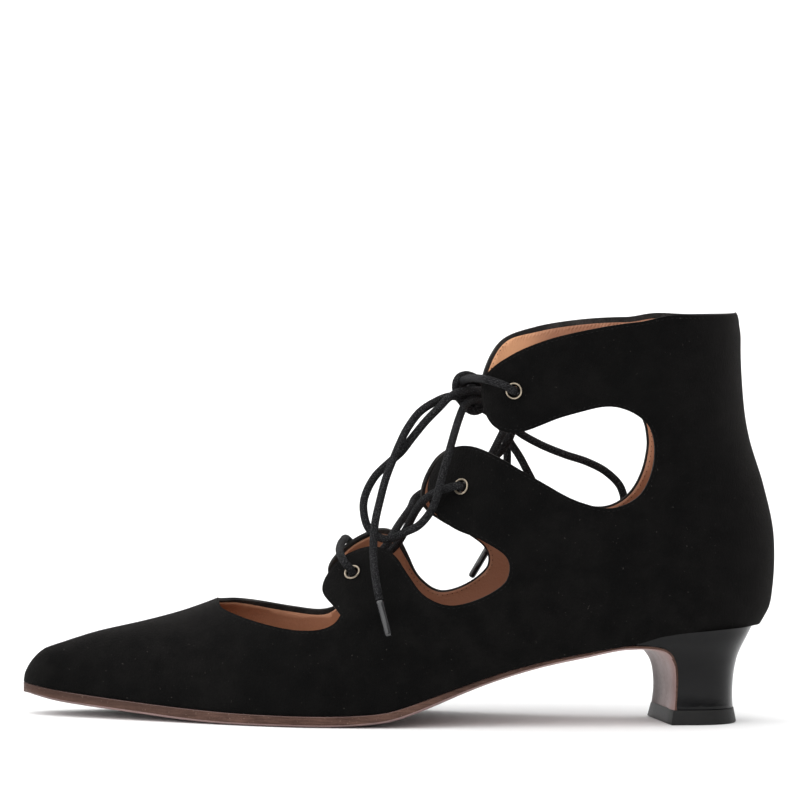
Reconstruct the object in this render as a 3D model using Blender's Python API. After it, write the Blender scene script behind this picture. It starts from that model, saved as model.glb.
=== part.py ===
"""Low-heeled lace-up shoe for the left foot, standing on its sole.

A pointed suede upper with three pairs of lacing tabs closes over the foot with one round lace.
A leather outsole runs under the foot and down the breast of a lacquered heel.
The toe points to -X, the outer (lateral) side faces -Y, and the floor is Z = 0.
Sizes are in millimetres, and MM turns them into Blender's metres.
"""

import math
from bisect import bisect_right
from collections import namedtuple
from functools import lru_cache

import bmesh
import bpy
from mathutils import Matrix, Vector, geometry

MM = 0.001

# Driving dimensions
TOE_X = -132.8
TIP_ROUND = 8.6
TIP_SPREAD = 11.0
FAN_X = 88.0
FAN_RUN = 46.0
FAN_POWER = 0.92
WALL = 1.8
GAP = 0.3
SOLE_WELT = 0.8
FLAP_THICK = 1.2
INSOLE_THICK = 2.0
HEEL_PIVOT = (92.5, -3.0)
HEEL_TURN = math.radians(10.0)
LIFT_HEIGHT = 5.2
LIFT_FLARE = 1.0
EYELET_HOLE = 1.9
EYELET_BARREL = 2.2
EYELET_FLANGE = 3.2
EYELET_ROOM = 0.6
EYELET_THICK = 0.6
LACE_RADIUS = 1.5
THROAT_X = -64.6
BREAST_SHARE = 0.97

# Mesh steps
PANEL_STEP = 6.5
EDGE_STEP = 3.6
EYELET_SIDES = 12
LACE_RING = 2
LACE_STEP = 4.0

TOE_STEPS = (0.0, 0.16, 0.32, 0.48, 0.64, 0.8, 0.96)
TOE_ROWS = (0.25, 0.5, 0.75)
HEEL_SIDE = (0.0, 0.2, 0.4, 0.6, 1.0)
HEEL_ARC = 6

LATERAL, MEDIAL = -1, 1

# The last at stations along the foot: swing of the centre line, half width at the seat, height of
# the ridge, lean of the ridge to the big toe, and fullness of the arch (2 is an ellipse).
Station = namedtuple("Station", "x swing half ridge lean full")
LAST = (
    Station(-132.8, 4.5, 6.8, 20.6, 0.0, 2.2),
    Station(-120.0, 4.1, 11.2, 25.2, 0.0, 2.2),
    Station(-106.0, 3.5, 16.4, 29.7, 0.0, 2.2),
    Station(-92.0, 2.8, 21.6, 33.0, 0.2, 2.2),
    Station(-78.0, 2.1, 26.8, 36.8, 0.5, 2.2),
    Station(-64.0, 1.4, 31.6, 41.9, 1.0, 2.2),
    Station(-50.0, 0.6, 35.6, 48.0, 1.6, 2.2),
    Station(-36.0, -0.4, 38.0, 54.5, 2.2, 2.15),
    Station(-22.0, -1.4, 37.6, 62.5, 2.6, 2.1),
    Station(-8.0, -2.8, 36.2, 72.5, 3.0, 2.1),
    Station(4.0, -4.0, 34.4, 85.0, 3.0, 2.05),
    Station(14.0, -4.8, 32.4, 103.0, 2.8, 2.0),
    Station(22.0, -5.4, 30.8, 128.0, 2.4, 2.0),
    Station(28.0, -5.7, 29.6, 162.0, 2.0, 2.0),
    Station(36.0, -6.0, 28.4, 220.0, 1.4, 2.0),
    Station(48.0, -6.2, 27.0, 285.0, 0.5, 2.0),
    Station(62.0, -6.2, 26.0, 320.0, 0.0, 2.0),
    Station(76.0, -5.4, 25.6, 330.0, 0.0, 2.0),
    Station(88.0, -3.8, 25.9, 332.0, 0.0, 2.0),
    Station(104.0, -1.0, 25.9, 332.0, 0.0, 2.0),
    Station(133.0, 4.1, 25.9, 332.0, 0.0, 2.0),
)

# The seat: the line where the upper's lower edge stands on the sole and on the heel.
Seat = namedtuple("Seat", "x z")
SEAT = (
    Seat(-132.8, 11.4),
    Seat(-120.0, 9.3),
    Seat(-106.0, 7.8),
    Seat(-92.0, 6.5),
    Seat(-78.0, 5.4),
    Seat(-64.0, 4.6),
    Seat(-50.0, 4.2),
    Seat(-30.0, 4.1),
    Seat(-18.0, 4.5),
    Seat(-8.0, 5.4),
    Seat(2.0, 8.2),
    Seat(12.0, 11.8),
    Seat(22.0, 15.4),
    Seat(34.0, 19.4),
    Seat(48.0, 23.2),
    Seat(62.0, 26.1),
    Seat(76.0, 28.6),
    Seat(82.0, 29.6),
    Seat(88.0, 31.5),
    Seat(95.0, 32.8),
    Seat(106.0, 33.8),
    Seat(120.0, 34.6),
    Seat(134.0, 34.8),
)

# The back of the foot by height: how far back the heel curve goes, and how much the sides swell.
Back = namedtuple("Back", "z back swell")
BACK = (
    Back(4.0, 127.8, 0.0),
    Back(34.5, 127.8, 0.0),
    Back(40.0, 130.9, 0.9),
    Back(49.0, 132.3, 1.6),
    Back(57.0, 132.7, 1.6),
    Back(68.0, 132.1, 1.0),
    Back(77.0, 130.1, 0.6),
    Back(88.0, 127.0, 1.0),
    Back(98.0, 123.5, 2.4),
    Back(110.0, 120.9, 3.6),
    Back(128.0, 119.3, 4.2),
    Back(140.0, 118.8, 4.5),
    Back(143.2, 117.9, 4.6),
    Back(146.0, 115.4, 4.6),
)

# The cut edge of one side, from the throat over the three tabs to the top of the back seam, as it
# shows from the side, with the shift of the inner (medial) side's point.
Cut = namedtuple("Cut", "x z medial_dx medial_dz")
CUT_EDGE = (
    Cut(-63.6, 39.6, 0.0, 1.3),
    Cut(-58.6, 37.6, 0.0, 3.0),
    Cut(-47.6, 34.8, 0.0, 4.0),
    Cut(-35.0, 33.4, 0.0, 3.1),
    Cut(-26.6, 34.9, 1.8, 1.1),
    Cut(-22.6, 39.0, 3.4, 0.4),
    Cut(-25.4, 42.4, 3.6, 2.0),
    Cut(-28.7, 46.4, 3.8, 3.2),
    Cut(-28.2, 50.0, 4.0, 3.6),
    Cut(-21.6, 58.0, 4.4, 3.6),
    Cut(-12.6, 62.0, 4.2, 3.8),
    Cut(-4.8, 60.4, 3.2, 4.2),
    Cut(0.6, 53.6, 2.7, 3.4),
    Cut(6.6, 46.2, 1.4, 2.0),
    Cut(15.6, 43.0, 0.2, 0.3),
    Cut(27.0, 46.0, -1.6, 0.4),
    Cut(35.0, 51.8, -3.0, 0.8),
    Cut(35.6, 58.8, -4.2, -0.6),
    Cut(26.8, 65.4, -1.6, -1.9),
    Cut(15.8, 70.0, -0.2, -1.8),
    Cut(8.9, 76.6, -0.9, -2.2),
    Cut(8.6, 86.0, -0.6, -2.8),
    Cut(13.4, 94.6, -1.0, -3.0),
    Cut(20.8, 98.2, 0.2, -2.9),
    Cut(30.6, 95.2, 1.0, -3.4),
    Cut(46.0, 86.8, 1.6, -4.0),
    Cut(60.0, 79.6, 2.0, -3.8),
    Cut(72.6, 77.4, 2.2, -2.7),
    Cut(82.0, 82.4, 1.4, -1.4),
    Cut(86.4, 94.0, 1.5, -1.0),
    Cut(83.8, 106.8, 2.3, -0.6),
    Cut(72.0, 112.8, 2.6, 0.0),
    Cut(56.0, 109.8, 2.0, 0.4),
    Cut(38.6, 103.6, 1.6, 0.8),
    Cut(30.6, 105.0, 1.6, 0.8),
    Cut(26.3, 112.6, 1.8, 0.8),
    Cut(27.0, 122.4, 3.2, 2.4),
    Cut(34.4, 129.6, 1.2, 3.6),
    Cut(46.0, 135.3, 0.6, 2.4),
    Cut(64.0, 140.0, 0.2, 0.9),
    Cut(84.0, 143.3, 0.0, -1.0),
    Cut(101.0, 144.9, 0.0, -1.8),
)
BACK_TOP_Z = 144.9

# The eyelets on the outer side, and the shift of the inner side's.
EYELETS = (
    Cut(-18.3, 53.2, 3.4, 4.0),
    Cut(19.2, 84.0, 0.2, -3.0),
    Cut(36.8, 118.0, 2.0, 1.0),
)

# The outsole: height of its tread and how far its middle hangs below its edge.
Tread = namedtuple("Tread", "x z crown")
TREAD = (
    Tread(-132.8, 7.8, 0.0),
    Tread(-120.0, 5.1, 0.0),
    Tread(-106.0, 3.6, 0.0),
    Tread(-92.0, 2.3, 0.0),
    Tread(-78.0, 1.0, 0.0),
    Tread(-66.0, 0.25, 0.0),
    Tread(-56.0, 0.0, 0.0),
    Tread(-26.0, 0.0, 0.0),
    Tread(-14.0, 0.8, 0.0),
    Tread(-6.0, 1.9, 0.2),
    Tread(2.0, 4.4, 0.5),
    Tread(12.0, 8.4, 0.9),
    Tread(22.0, 12.6, 1.2),
    Tread(34.0, 17.0, 1.4),
    Tread(48.0, 21.2, 1.4),
    Tread(62.0, 24.3, 1.2),
    Tread(76.0, 27.1, 0.7),
)
SOLE_RUNS = (
    -132.7, -132.2, -130.8, -128.0, -123.5, -118.0, -110.0, -100.0, -90.0, -78.0, -66.0, -56.0,
    -46.0, -36.0, -26.0, -14.0, -6.0, 2.0, 12.0, 22.0, 34.0, 48.0, 62.0, 73.0,
)

# The heel from its foot to its seat, in the heel's own turned frame (run back from the pivot): where
# the breast and the back lie, at what height, the half width, and how far the breast's line dips to
# the inner side.
Level = namedtuple("Level", "front front_z back back_z half dip")
HEEL = (
    Level(2.1, 5.5, 25.6, 5.5, 16.0, 0.0),
    Level(2.5, 10.5, 25.4, 10.5, 15.6, 0.0),
    Level(2.4, 16.0, 25.6, 16.0, 16.2, 0.0),
    Level(1.8, 20.2, 26.2, 20.6, 17.5, 0.0),
    Level(0.6, 23.2, 27.2, 24.2, 19.2, 0.1),
    Level(-1.4, 25.7, 28.9, 27.6, 21.2, 0.3),
    Level(-4.4, 27.3, 30.5, 30.5, 23.0, 0.5),
    Level(-8.4, 28.0, 31.6, 32.6, 24.2, 0.7),
    Level(-13.5, 28.3, 32.3, 34.2, 24.6, 0.8),
)

# The lace: routes by their bends. A strand that starts or ends at an eyelet names it by its side and
# number, and by which face of the tab it leaves from. A tie ends at the knot.
Eye = namedtuple("Eye", "side number face")
Strand = namedtuple("Strand", "start bends end")
OUT, IN = 1, -1
LACE_BAR = Strand(
    Eye(LATERAL, 1, OUT),
    (
        (-21.2, -26.0, 57.2), (-22.8, -21.4, 60.2), (-23.2, -12.0, 61.6), (-22.4, 0.0, 62.4),
        (-20.8, 13.0, 63.0), (-18.0, 21.6, 61.8),
    ),
    Eye(MEDIAL, 1, OUT),
)
LOW_CROSS = (
    Strand(
        Eye(MEDIAL, 1, IN),
        (
            (-7.0, 12.5, 56.6), (-1.6, 6.0, 61.6), (0.4, 0.4, 67.2), (3.8, -11.0, 74.2),
            (6.2, -19.6, 79.4), (8.4, -24.2, 81.7), (12.2, -26.6, 83.4),
        ),
        Eye(LATERAL, 2, OUT),
    ),
    Strand(
        Eye(LATERAL, 1, IN),
        (
            (-10.6, -15.6, 56.8), (-4.9, -9.0, 63.0), (0.4, 0.4, 67.2), (3.8, 11.0, 73.2),
            (5.4, 18.2, 76.2), (8.4, 21.8, 78.4), (13.8, 22.8, 80.6),
        ),
        Eye(MEDIAL, 2, OUT),
    ),
)
HIGH_CROSS = (
    Strand(
        Eye(LATERAL, 2, IN),
        ((25.6, -18.0, 86.6), (35.0, -3.0, 98.2), (38.6, 8.0, 108.0)),
        Eye(MEDIAL, 3, IN),
    ),
    Strand(
        Eye(MEDIAL, 2, IN),
        ((25.0, 11.4, 84.6), (35.0, -3.0, 98.2), (38.8, -16.0, 108.4)),
        Eye(LATERAL, 3, IN),
    ),
)
LATERAL_TIE = Strand(
    Eye(LATERAL, 3, OUT),
    ((33.2, -36.4, 120.6), (27.8, -32.4, 121.6), (24.6, -25.0, 121.6), (23.2, -15.0, 121.0)),
    (22.6, -7.6, 118.8),
)
MEDIAL_TIE = Strand(
    Eye(MEDIAL, 3, OUT),
    ((34.0, 25.2, 120.6), (29.4, 23.6, 121.6), (25.4, 18.6, 121.8)),
    (22.4, 7.6, 118.6),
)
KNOT_CENTRE, KNOT_RADII = (23.0, 0.0, 115.6), (5.4, 6.2, 7.2)

# The bow's loops and ends. A place at the knot only says where on the knot the lace comes out.
LATERAL_LOOP = (
    (17.2, -8.4, 115.6), (14.4, -10.8, 113.3), (11.6, -11.2, 110.3), (7.4, -11.4, 105.9),
    (2.6, -11.6, 99.9), (-1.2, -11.8, 94.9), (-5.1, -12.0, 91.4), (-10.7, -12.6, 85.7),
    (-14.1, -13.4, 78.0), (-13.9, -14.6, 72.1), (-12.3, -16.0, 68.0), (-8.5, -17.6, 65.1),
    (-5.1, -19.4, 64.8), (0.0, -22.0, 67.4), (4.4, -24.2, 69.8), (8.1, -26.8, 74.3),
    (10.3, -29.6, 79.4), (11.2, -31.4, 83.7), (12.8, -31.4, 90.0), (14.7, -28.6, 96.2),
    (16.9, -22.0, 102.8), (18.9, -15.0, 107.3), (21.0, -9.4, 110.9),
)
LATERAL_END = (
    (17.0, -2.4, 114.2), (11.1, -7.0, 112.6), (5.3, -10.0, 109.0), (0.7, -13.0, 103.1),
    (-1.8, -15.0, 98.3), (-3.9, -16.6, 93.4), (-6.8, -19.6, 86.2), (-8.9, -22.6, 78.7),
    (-10.7, -25.6, 70.8), (-11.3, -28.6, 63.0), (-11.0, -32.0, 55.2), (-10.0, -35.4, 48.3),
    (-9.3, -36.8, 44.8),
)
LATERAL_AGLET = ((-9.22, -36.95, 44.5), (-6.1, -40.6, 32.4))
MEDIAL_LOOP = (
    (25.8, 6.9, 114.6), (25.2, 15.2, 114.6), (27.2, 22.0, 113.6), (33.2, 23.6, 110.2),
    (37.4, 24.6, 105.4), (42.0, 25.0, 100.6), (50.0, 25.0, 96.0), (59.0, 24.6, 92.4),
    (67.2, 24.4, 89.8), (74.2, 24.4, 86.2), (79.4, 24.6, 80.8), (80.4, 24.8, 75.0),
    (75.0, 24.4, 70.6), (67.0, 24.2, 69.2), (58.0, 24.4, 71.6), (51.0, 24.6, 77.4),
    (46.6, 24.8, 85.0), (43.2, 24.8, 91.2), (39.6, 24.8, 96.6), (36.8, 24.4, 101.2),
    (32.6, 23.4, 106.4), (27.4, 21.2, 109.6), (25.2, 13.4, 110.2), (24.2, 5.8, 110.4),
)
MEDIAL_END = (
    (19.6, 6.8, 112.6), (21.6, 16.0, 112.0), (24.0, 24.4, 111.2), (32.0, 27.4, 108.2),
    (36.8, 28.4, 101.8), (38.6, 28.0, 95.0), (38.8, 27.2, 88.0), (38.2, 27.0, 80.0),
    (36.6, 27.2, 70.0), (33.1, 27.8, 59.4),
)
MEDIAL_AGLET = ((32.95, 27.8, 59.05), (26.5, 28.8, 47.7))


@lru_cache(maxsize=None)
def curve(table, column):
    """A table column as points and slopes of a monotone cubic, which never overshoots its rows."""
    xs = [row[0] for row in table]
    ys = [getattr(row, column) for row in table]
    widths = [b - a for a, b in zip(xs, xs[1:])]
    rates = [(b - a) / w for a, b, w in zip(ys, ys[1:], widths)]
    slopes = [rates[0]]
    for i in range(1, len(rates)):
        before, after = rates[i - 1], rates[i]
        if before * after <= 0.0:
            slopes.append(0.0)
            continue
        heavy, light = 2 * widths[i] + widths[i - 1], widths[i] + 2 * widths[i - 1]
        slopes.append((heavy + light) / (heavy / before + light / after))
    slopes.append(rates[-1])
    return xs, ys, slopes


def read(table, column, x):
    """The value of a table column at x, held level beyond its ends."""
    xs, ys, slopes = curve(table, column)
    x = min(max(x, xs[0]), xs[-1])
    i = min(bisect_right(xs, x), len(xs) - 1) - 1
    width = xs[i + 1] - xs[i]
    u = (x - xs[i]) / width
    rest = 1.0 - u
    return (
        ys[i] * (1 + 2 * u) * rest * rest
        + ys[i + 1] * (3 - 2 * u) * u * u
        + width * (slopes[i] * u * rest * rest - slopes[i + 1] * rest * u * u)
    )


def ease(x, start, end):
    """A soft step from 0 at start to 1 at end."""
    u = min(max((x - start) / (end - start), 0.0), 1.0)
    return u * u * (3 - 2 * u)


def tip(x):
    """How far the rounding of the toe has opened at x."""
    u = min(max((x - TOE_X) / TIP_ROUND, 0.0), 1.0)
    return math.sqrt(1.0 - (1.0 - u) ** 2)


def seat(x):
    return read(SEAT, "z", x)


def run_seat(run):
    """The seat's height at a run, which goes on around the heel past FAN_X."""
    if run <= FAN_X:
        return seat(run)
    sweep = (run - FAN_X) / FAN_RUN * math.pi / 2
    return seat(FAN_X + (BACK[1].back - FAN_X) * math.sin(sweep) ** FAN_POWER)


def crest(run):
    """Height of the ridge above the seat."""
    return (read(LAST, "ridge", run) - run_seat(run)) * tip(run)


def wall_point(side, run, turn):
    """A point of the upper's outer face: run along the foot, turn up the arch from the seat."""
    station = min(run, FAN_X)
    power = 2.0 / read(LAST, "full", station)
    rise = math.sin(turn) ** power
    z = run_seat(run) + crest(run) * rise
    swell = read(BACK, "swell", z) * ease(station, -10.0, 60.0)
    half = (read(LAST, "half", station) * tip(station) + swell) * max(math.cos(turn), 0.0) ** power
    x = run
    if run > FAN_X:
        sweep = min((run - FAN_X) / FAN_RUN, 1.0) * math.pi / 2
        x = FAN_X + (read(BACK, "back", z) - FAN_X) * math.sin(sweep) ** FAN_POWER
        half *= max(math.cos(sweep), 0.0) ** FAN_POWER
    middle = read(LAST, "swing", x) + read(LAST, "lean", x) * rise * rise
    return Vector((x, middle + side * half, z))


def turn_at(run, z):
    """The turn that reaches height z at a run."""
    rise = min(max((z - run_seat(run)) / crest(run), 0.0), 1.0)
    return math.asin(rise ** (read(LAST, "full", min(run, FAN_X)) / 2.0))


def run_at(x, z):
    """The run of a point seen at x and height z from the side."""
    if x <= FAN_X:
        return x
    reach = min((x - FAN_X) / (read(BACK, "back", z) - FAN_X), 1.0)
    return FAN_X + math.asin(reach ** (1.0 / FAN_POWER)) / (math.pi / 2) * FAN_RUN


def wall_frame(side, run, turn):
    """A point of the outer face and the outward normal there."""
    step = 0.01
    here = wall_point(side, run, turn)
    along = wall_point(side, run + step, turn) - wall_point(side, run - step, turn)
    low, high = max(turn - 0.002, 0.0), min(turn + 0.002, math.pi / 2)
    up = wall_point(side, run, high) - wall_point(side, run, low)
    return here, (along.cross(up) * -side).normalized()


@lru_cache(maxsize=None)
def girths(side, run):
    """Lengths up the wall from the seat to the ridge, at equal turns."""
    steps = 48
    turns = [math.pi / 2 * i / steps for i in range(steps + 1)]
    points = [wall_point(side, run, turn) for turn in turns]
    lengths = [0.0]
    for a, b in zip(points, points[1:]):
        lengths.append(lengths[-1] + (b - a).length)
    return turns, lengths


def swap(value, given, wanted):
    """Reads a rising list given at value, and returns the other list's value there."""
    i = min(max(bisect_right(given, value), 1), len(given) - 1)
    span = given[i] - given[i - 1]
    u = min((value - given[i - 1]) / span, 1.0) if span else 0.0
    return wanted[i - 1] + u * (wanted[i] - wanted[i - 1])


def spread(run):
    """The run drawn out at the rounded toe, so that the pattern keeps true lengths there."""
    past = (run - TOE_X) / TIP_ROUND
    return run if past > 1.0 else TOE_X + TIP_ROUND - TIP_SPREAD * (1.0 - math.sqrt(max(past, 0.0)))


def gather(place_x):
    """The run of a drawn-out place."""
    past = 1.0 - (TOE_X + TIP_ROUND - place_x) / TIP_SPREAD
    return place_x if past > 1.0 else TOE_X + TIP_ROUND * max(past, 0.0) ** 2


def to_pattern(side, run, turn):
    """The flat pattern's place of a point: the run, and the length up the wall."""
    turns, lengths = girths(side, round(run, 4))
    return Vector((spread(run), swap(turn, turns, lengths)))


def from_pattern(side, place):
    run = gather(place.x)
    turns, lengths = girths(side, round(run, 4))
    return run, swap(place.y, lengths, turns)


def smooth_path(points, step):
    """Points at about one step along a smooth curve through the given points."""
    ends = [points[0] * 2 - points[1]] + list(points) + [points[-1] * 2 - points[-2]]
    path = []
    for a, b, c, d in zip(ends, ends[1:], ends[2:], ends[3:]):
        ab, bc, cd = ((q - p).length ** 0.5 + 1e-9 for p, q in ((a, b), (b, c), (c, d)))
        leave = bc * ((b - a) / ab - (c - a) / (ab + bc) + (c - b) / bc)
        arrive = bc * ((c - b) / bc - (d - b) / (bc + cd) + (d - c) / cd)
        count = max(1, round((c - b).length / step))
        for i in range(count):
            u = i / count
            rest = 1 - u
            path.append(
                b * ((1 + 2 * u) * rest * rest)
                + c * ((3 - 2 * u) * u * u)
                + leave * (u * rest * rest)
                - arrive * (u * u * rest)
            )
    path.append(points[-1].copy())
    return path


def spaced(start, end, step):
    count = max(1, round(abs(end - start) / step))
    return [start + (end - start) * i / count for i in range(count + 1)]


def new_object(name, bm, material):
    """Ends a bmesh in millimetres as a named object in metres."""
    bmesh.ops.recalc_face_normals(bm, faces=bm.faces)
    bmesh.ops.scale(bm, vec=(MM, MM, MM), verts=bm.verts)
    mesh = bpy.data.meshes.new(name)
    bm.to_mesh(mesh)
    bm.free()
    mesh.materials.append(material)
    thing = bpy.data.objects.new(name, mesh)
    bpy.context.scene.collection.objects.link(thing)
    return thing


def new_material(name, colour, rough, metal=0.0):
    material = bpy.data.materials.new(name)
    material.use_nodes = True
    shader = material.node_tree.nodes["Principled BSDF"]
    shader.inputs["Base Color"].default_value = (*colour, 1.0)
    shader.inputs["Roughness"].default_value = rough
    shader.inputs["Metallic"].default_value = metal
    return material


def eyelet_frame(side, row):
    """Centre of an eyelet on the outer face, and the outward normal there."""
    shift = 1.0 if side == MEDIAL else 0.0
    x, z = row.x + shift * row.medial_dx, row.z + shift * row.medial_dz
    return wall_frame(side, x, turn_at(x, z))


# Upper
def panel_outline(side):
    """One side of the upper laid flat: its outline, as places on the pattern."""
    shift = 1.0 if side == MEDIAL else 0.0
    throat = to_pattern(side, THROAT_X, math.pi / 2)
    cut = [throat]
    for row in CUT_EDGE:
        x, z = row.x + shift * row.medial_dx, row.z + shift * row.medial_dz
        run = run_at(x, z)
        cut.append(to_pattern(side, run, turn_at(run, z)))
    back_run = FAN_X + FAN_RUN
    cut.append(to_pattern(side, back_run, turn_at(back_run, BACK_TOP_Z)))
    cut = smooth_path(cut, EDGE_STEP)
    opening = [TOE_X + TIP_ROUND * u * u for u in TOE_STEPS]
    runs = opening + spaced(opening[-1], back_run, PANEL_STEP)[1:]
    bottom = [Vector((spread(run), 0.0)) for run in runs]
    seam = [Vector((back_run, g)) for g in spaced(0.0, cut[-1].y, PANEL_STEP)][1:-1]
    over = opening + spaced(opening[-1], THROAT_X, PANEL_STEP)[1:-1]
    ridge = [to_pattern(side, run, math.pi / 2) for run in over[1:]]
    return bottom + seam + cut[::-1] + ridge[::-1]


def near_edge(place, loop, limit):
    """Whether a place lies within limit of a loop's edges."""
    for a, b in zip(loop, loop[1:] + loop[:1]):
        span = b - a
        u = min(max((place - a).dot(span) / span.length_squared, 0.0), 1.0)
        if (place - a - span * u).length < limit:
            return True
    return False


def inside(place, loop):
    """Whether a place lies inside a loop, by counting crossings."""
    odd = False
    for a, b in zip(loop, loop[1:] + loop[:1]):
        if (a.y > place.y) != (b.y > place.y):
            if place.x < a.x + (place.y - a.y) * (b.x - a.x) / (b.y - a.y):
                odd = not odd
    return odd


def eyelet_loop(side, row):
    """The hole for an eyelet on the flat pattern."""
    centre, normal = eyelet_frame(side, row)
    across = normal.cross(Vector((0.0, 0.0, 1.0))).normalized()
    up = across.cross(normal)
    loop = []
    for i in range(EYELET_SIDES):
        angle = 2 * math.pi * i / EYELET_SIDES
        way = across * math.cos(angle) + up * math.sin(angle)
        point = centre + way * (EYELET_BARREL + EYELET_ROOM)
        loop.append(to_pattern(side, point.x, turn_at(point.x, point.z)))
    return loop


def add_panel(bm, side):
    """Meshes one side of the upper on its pattern and lays it on the last."""
    outline = panel_outline(side)
    holes = [eyelet_loop(side, row) for row in EYELETS]
    places = list(outline)
    edges = [(i, (i + 1) % len(outline)) for i in range(len(outline))]
    for hole in holes:
        first = len(places)
        places += hole
        edges += [(first + i, first + (i + 1) % len(hole)) for i in range(len(hole))]
    for share in TOE_STEPS[2:]:
        run = TOE_X + TIP_ROUND * share * share
        tallest = girths(side, round(run, 4))[1][-1]
        places += [Vector((spread(run), tallest * row)) for row in TOE_ROWS]
    for place_x in spaced(TOE_X + TIP_ROUND + 0.5 * PANEL_STEP, FAN_X + FAN_RUN, PANEL_STEP):
        tallest = girths(side, round(gather(place_x), 4))[1][-1]
        for girth in spaced(0.0, min(tallest, 150.0), PANEL_STEP):
            place = Vector((place_x, girth))
            if not inside(place, outline) or near_edge(place, outline, PANEL_STEP * 0.45):
                continue
            if any(near_edge(place, hole, PANEL_STEP * 0.4) or inside(place, hole) for hole in holes):
                continue
            places.append(place)
    cdt = geometry.delaunay_2d_cdt(places, edges, [], 1, 1e-5)
    verts = [bm.verts.new(wall_point(side, *from_pattern(side, place))) for place in cdt[0]]
    for face in cdt[2]:
        middle = sum((cdt[0][i] for i in face), Vector((0.0, 0.0))) / len(face)
        if inside(middle, outline) and not any(inside(middle, hole) for hole in holes):
            bm.faces.new([verts[i] for i in face])


def outward(point):
    """The normal of the outer face at one of its points."""
    run = run_at(point.x, point.z)
    if run < TOE_X + 0.05:
        return Vector((-1.0, 0.0, 0.0))
    turn = turn_at(run, point.z)
    rise = math.sin(turn) ** (2.0 / read(LAST, "full", min(run, FAN_X)))
    middle = read(LAST, "swing", point.x) + read(LAST, "lean", point.x) * rise * rise
    normal = wall_frame(LATERAL if point.y < middle else MEDIAL, run, turn)[1]
    if turn < 0.001:
        normal = Vector((normal.x, normal.y, 0.0)).normalized()
    return normal


def build_upper(material):
    """The hollow shell: both sides joined along the ridge and the back seam, then thickened inward."""
    bm = bmesh.new()
    add_panel(bm, LATERAL)
    add_panel(bm, MEDIAL)
    bmesh.ops.remove_doubles(bm, verts=bm.verts, dist=0.02)
    bmesh.ops.delete(bm, geom=[v for v in bm.verts if not v.link_faces], context="VERTS")
    outer_faces, rim = list(bm.faces), [edge for edge in bm.edges if edge.is_boundary]
    inner = {vert: bm.verts.new(vert.co - outward(vert.co) * WALL) for vert in list(bm.verts)}
    for edge in rim:
        a, b = edge.verts
        bm.faces.new((a, b, inner[b], inner[a]))
    for face in outer_faces:
        bm.faces.new([inner[v] for v in reversed(face.verts)])
    return new_object("upper", bm, material)


# Sole, insole and heel
def loft(bm, loops):
    """Skins closed loops of the same count, and closes both ends."""
    rings = [[bm.verts.new(p) for p in loop] for loop in loops]
    for a, b in zip(rings, rings[1:]):
        for i in range(len(a)):
            j = (i + 1) % len(a)
            bm.faces.new((a[i], a[j], b[j], b[i]))
    return rings


def seat_edge(side, run, out):
    """A point of the upper's lower edge in plan, moved outward."""
    here, normal = wall_frame(side, run, 0.0)
    normal.z = 0.0
    return here + normal.normalized() * out


def build_outsole(material):
    """The sole's sections from the toe to the waist, then down the breast to the top lift."""
    loops = []
    for run in SOLE_RUNS:
        out = SOLE_WELT * ease(run, -134.0, -112.0) - (SOLE_WELT + 0.9) * ease(run, -14.0, 30.0)
        turned = math.tan(HEEL_TURN) * ease(run, 34.0, 73.0) * read(LAST, "half", run)
        ends = (seat_edge(LATERAL, run + turned, out), seat_edge(MEDIAL, run - turned, out))
        tread, crown = read(TREAD, "z", run), read(TREAD, "crown", run)
        width = (ends[1] - ends[0]).length
        bevel = min(0.25, 1.2 / width)
        loop = []
        for u in (0.0, 0.25, 0.5, 0.75, 1.0):
            p = ends[0].lerp(ends[1], u)
            loop.append(Vector((p.x, p.y, seat(p.x) - GAP)))
        under = ((1.0, 1.0), (1.0 - bevel, 0.3), (0.72, 0.0), (0.5, 0.0))
        for u, lift in under + tuple((1.0 - u, lift) for u, lift in under[2::-1]):
            p = ends[0].lerp(ends[1], u)
            hang = crown * (1.0 - (2 * u - 1.0) ** 2)
            lift = min(lift, 0.35 * (seat(p.x) - GAP - tread))
            loop.append(Vector((p.x, p.y, tread + seat(p.x) - seat(run) + lift - hang)))
        loops.append(loop)
    path = [Vector((level.front - GAP, level.front_z - GAP)) for level in reversed(HEEL)]
    for i, (level, place) in enumerate(zip(reversed(HEEL), path)):
        ahead = path[min(i + 1, len(path) - 1)] - path[max(i - 1, 0)]
        out = Vector((ahead.y, -ahead.x)).normalized() * FLAP_THICK
        half = level.half * BREAST_SHARE
        loop = []
        for v in (-1.0, -0.5, 0.0, 0.5, 1.0):
            loop.append(heel_point(place.x, half * v, place.y - level.dip * v))
        front = ((1.0, 0.7), (0.97, 0.95), (0.44, 1.0), (0.0, 1.0))
        for v, depth in front + tuple((-v, depth) for v, depth in front[2::-1]):
            p = place + out * depth
            loop.append(heel_point(p.x, half * v, p.y - level.dip * v))
        loops.append(loop)
    bm = bmesh.new()
    rings = loft(bm, loops)
    for ring in (rings[0], rings[-1]):
        for i in range(4):
            low = 11 - i
            bm.faces.new((ring[i], ring[i + 1], ring[low - 1], ring[low]))
        bm.faces.new((ring[4], ring[5], ring[6], ring[7]))
    return new_object("outsole", bm, material)


def heel_point(back, across, z):
    """A point of the heel's turned frame in the shoe's frame."""
    c, s = math.cos(HEEL_TURN), math.sin(HEEL_TURN)
    return Vector((HEEL_PIVOT[0] + back * c - across * s, HEEL_PIVOT[1] + back * s + across * c, z))


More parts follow.
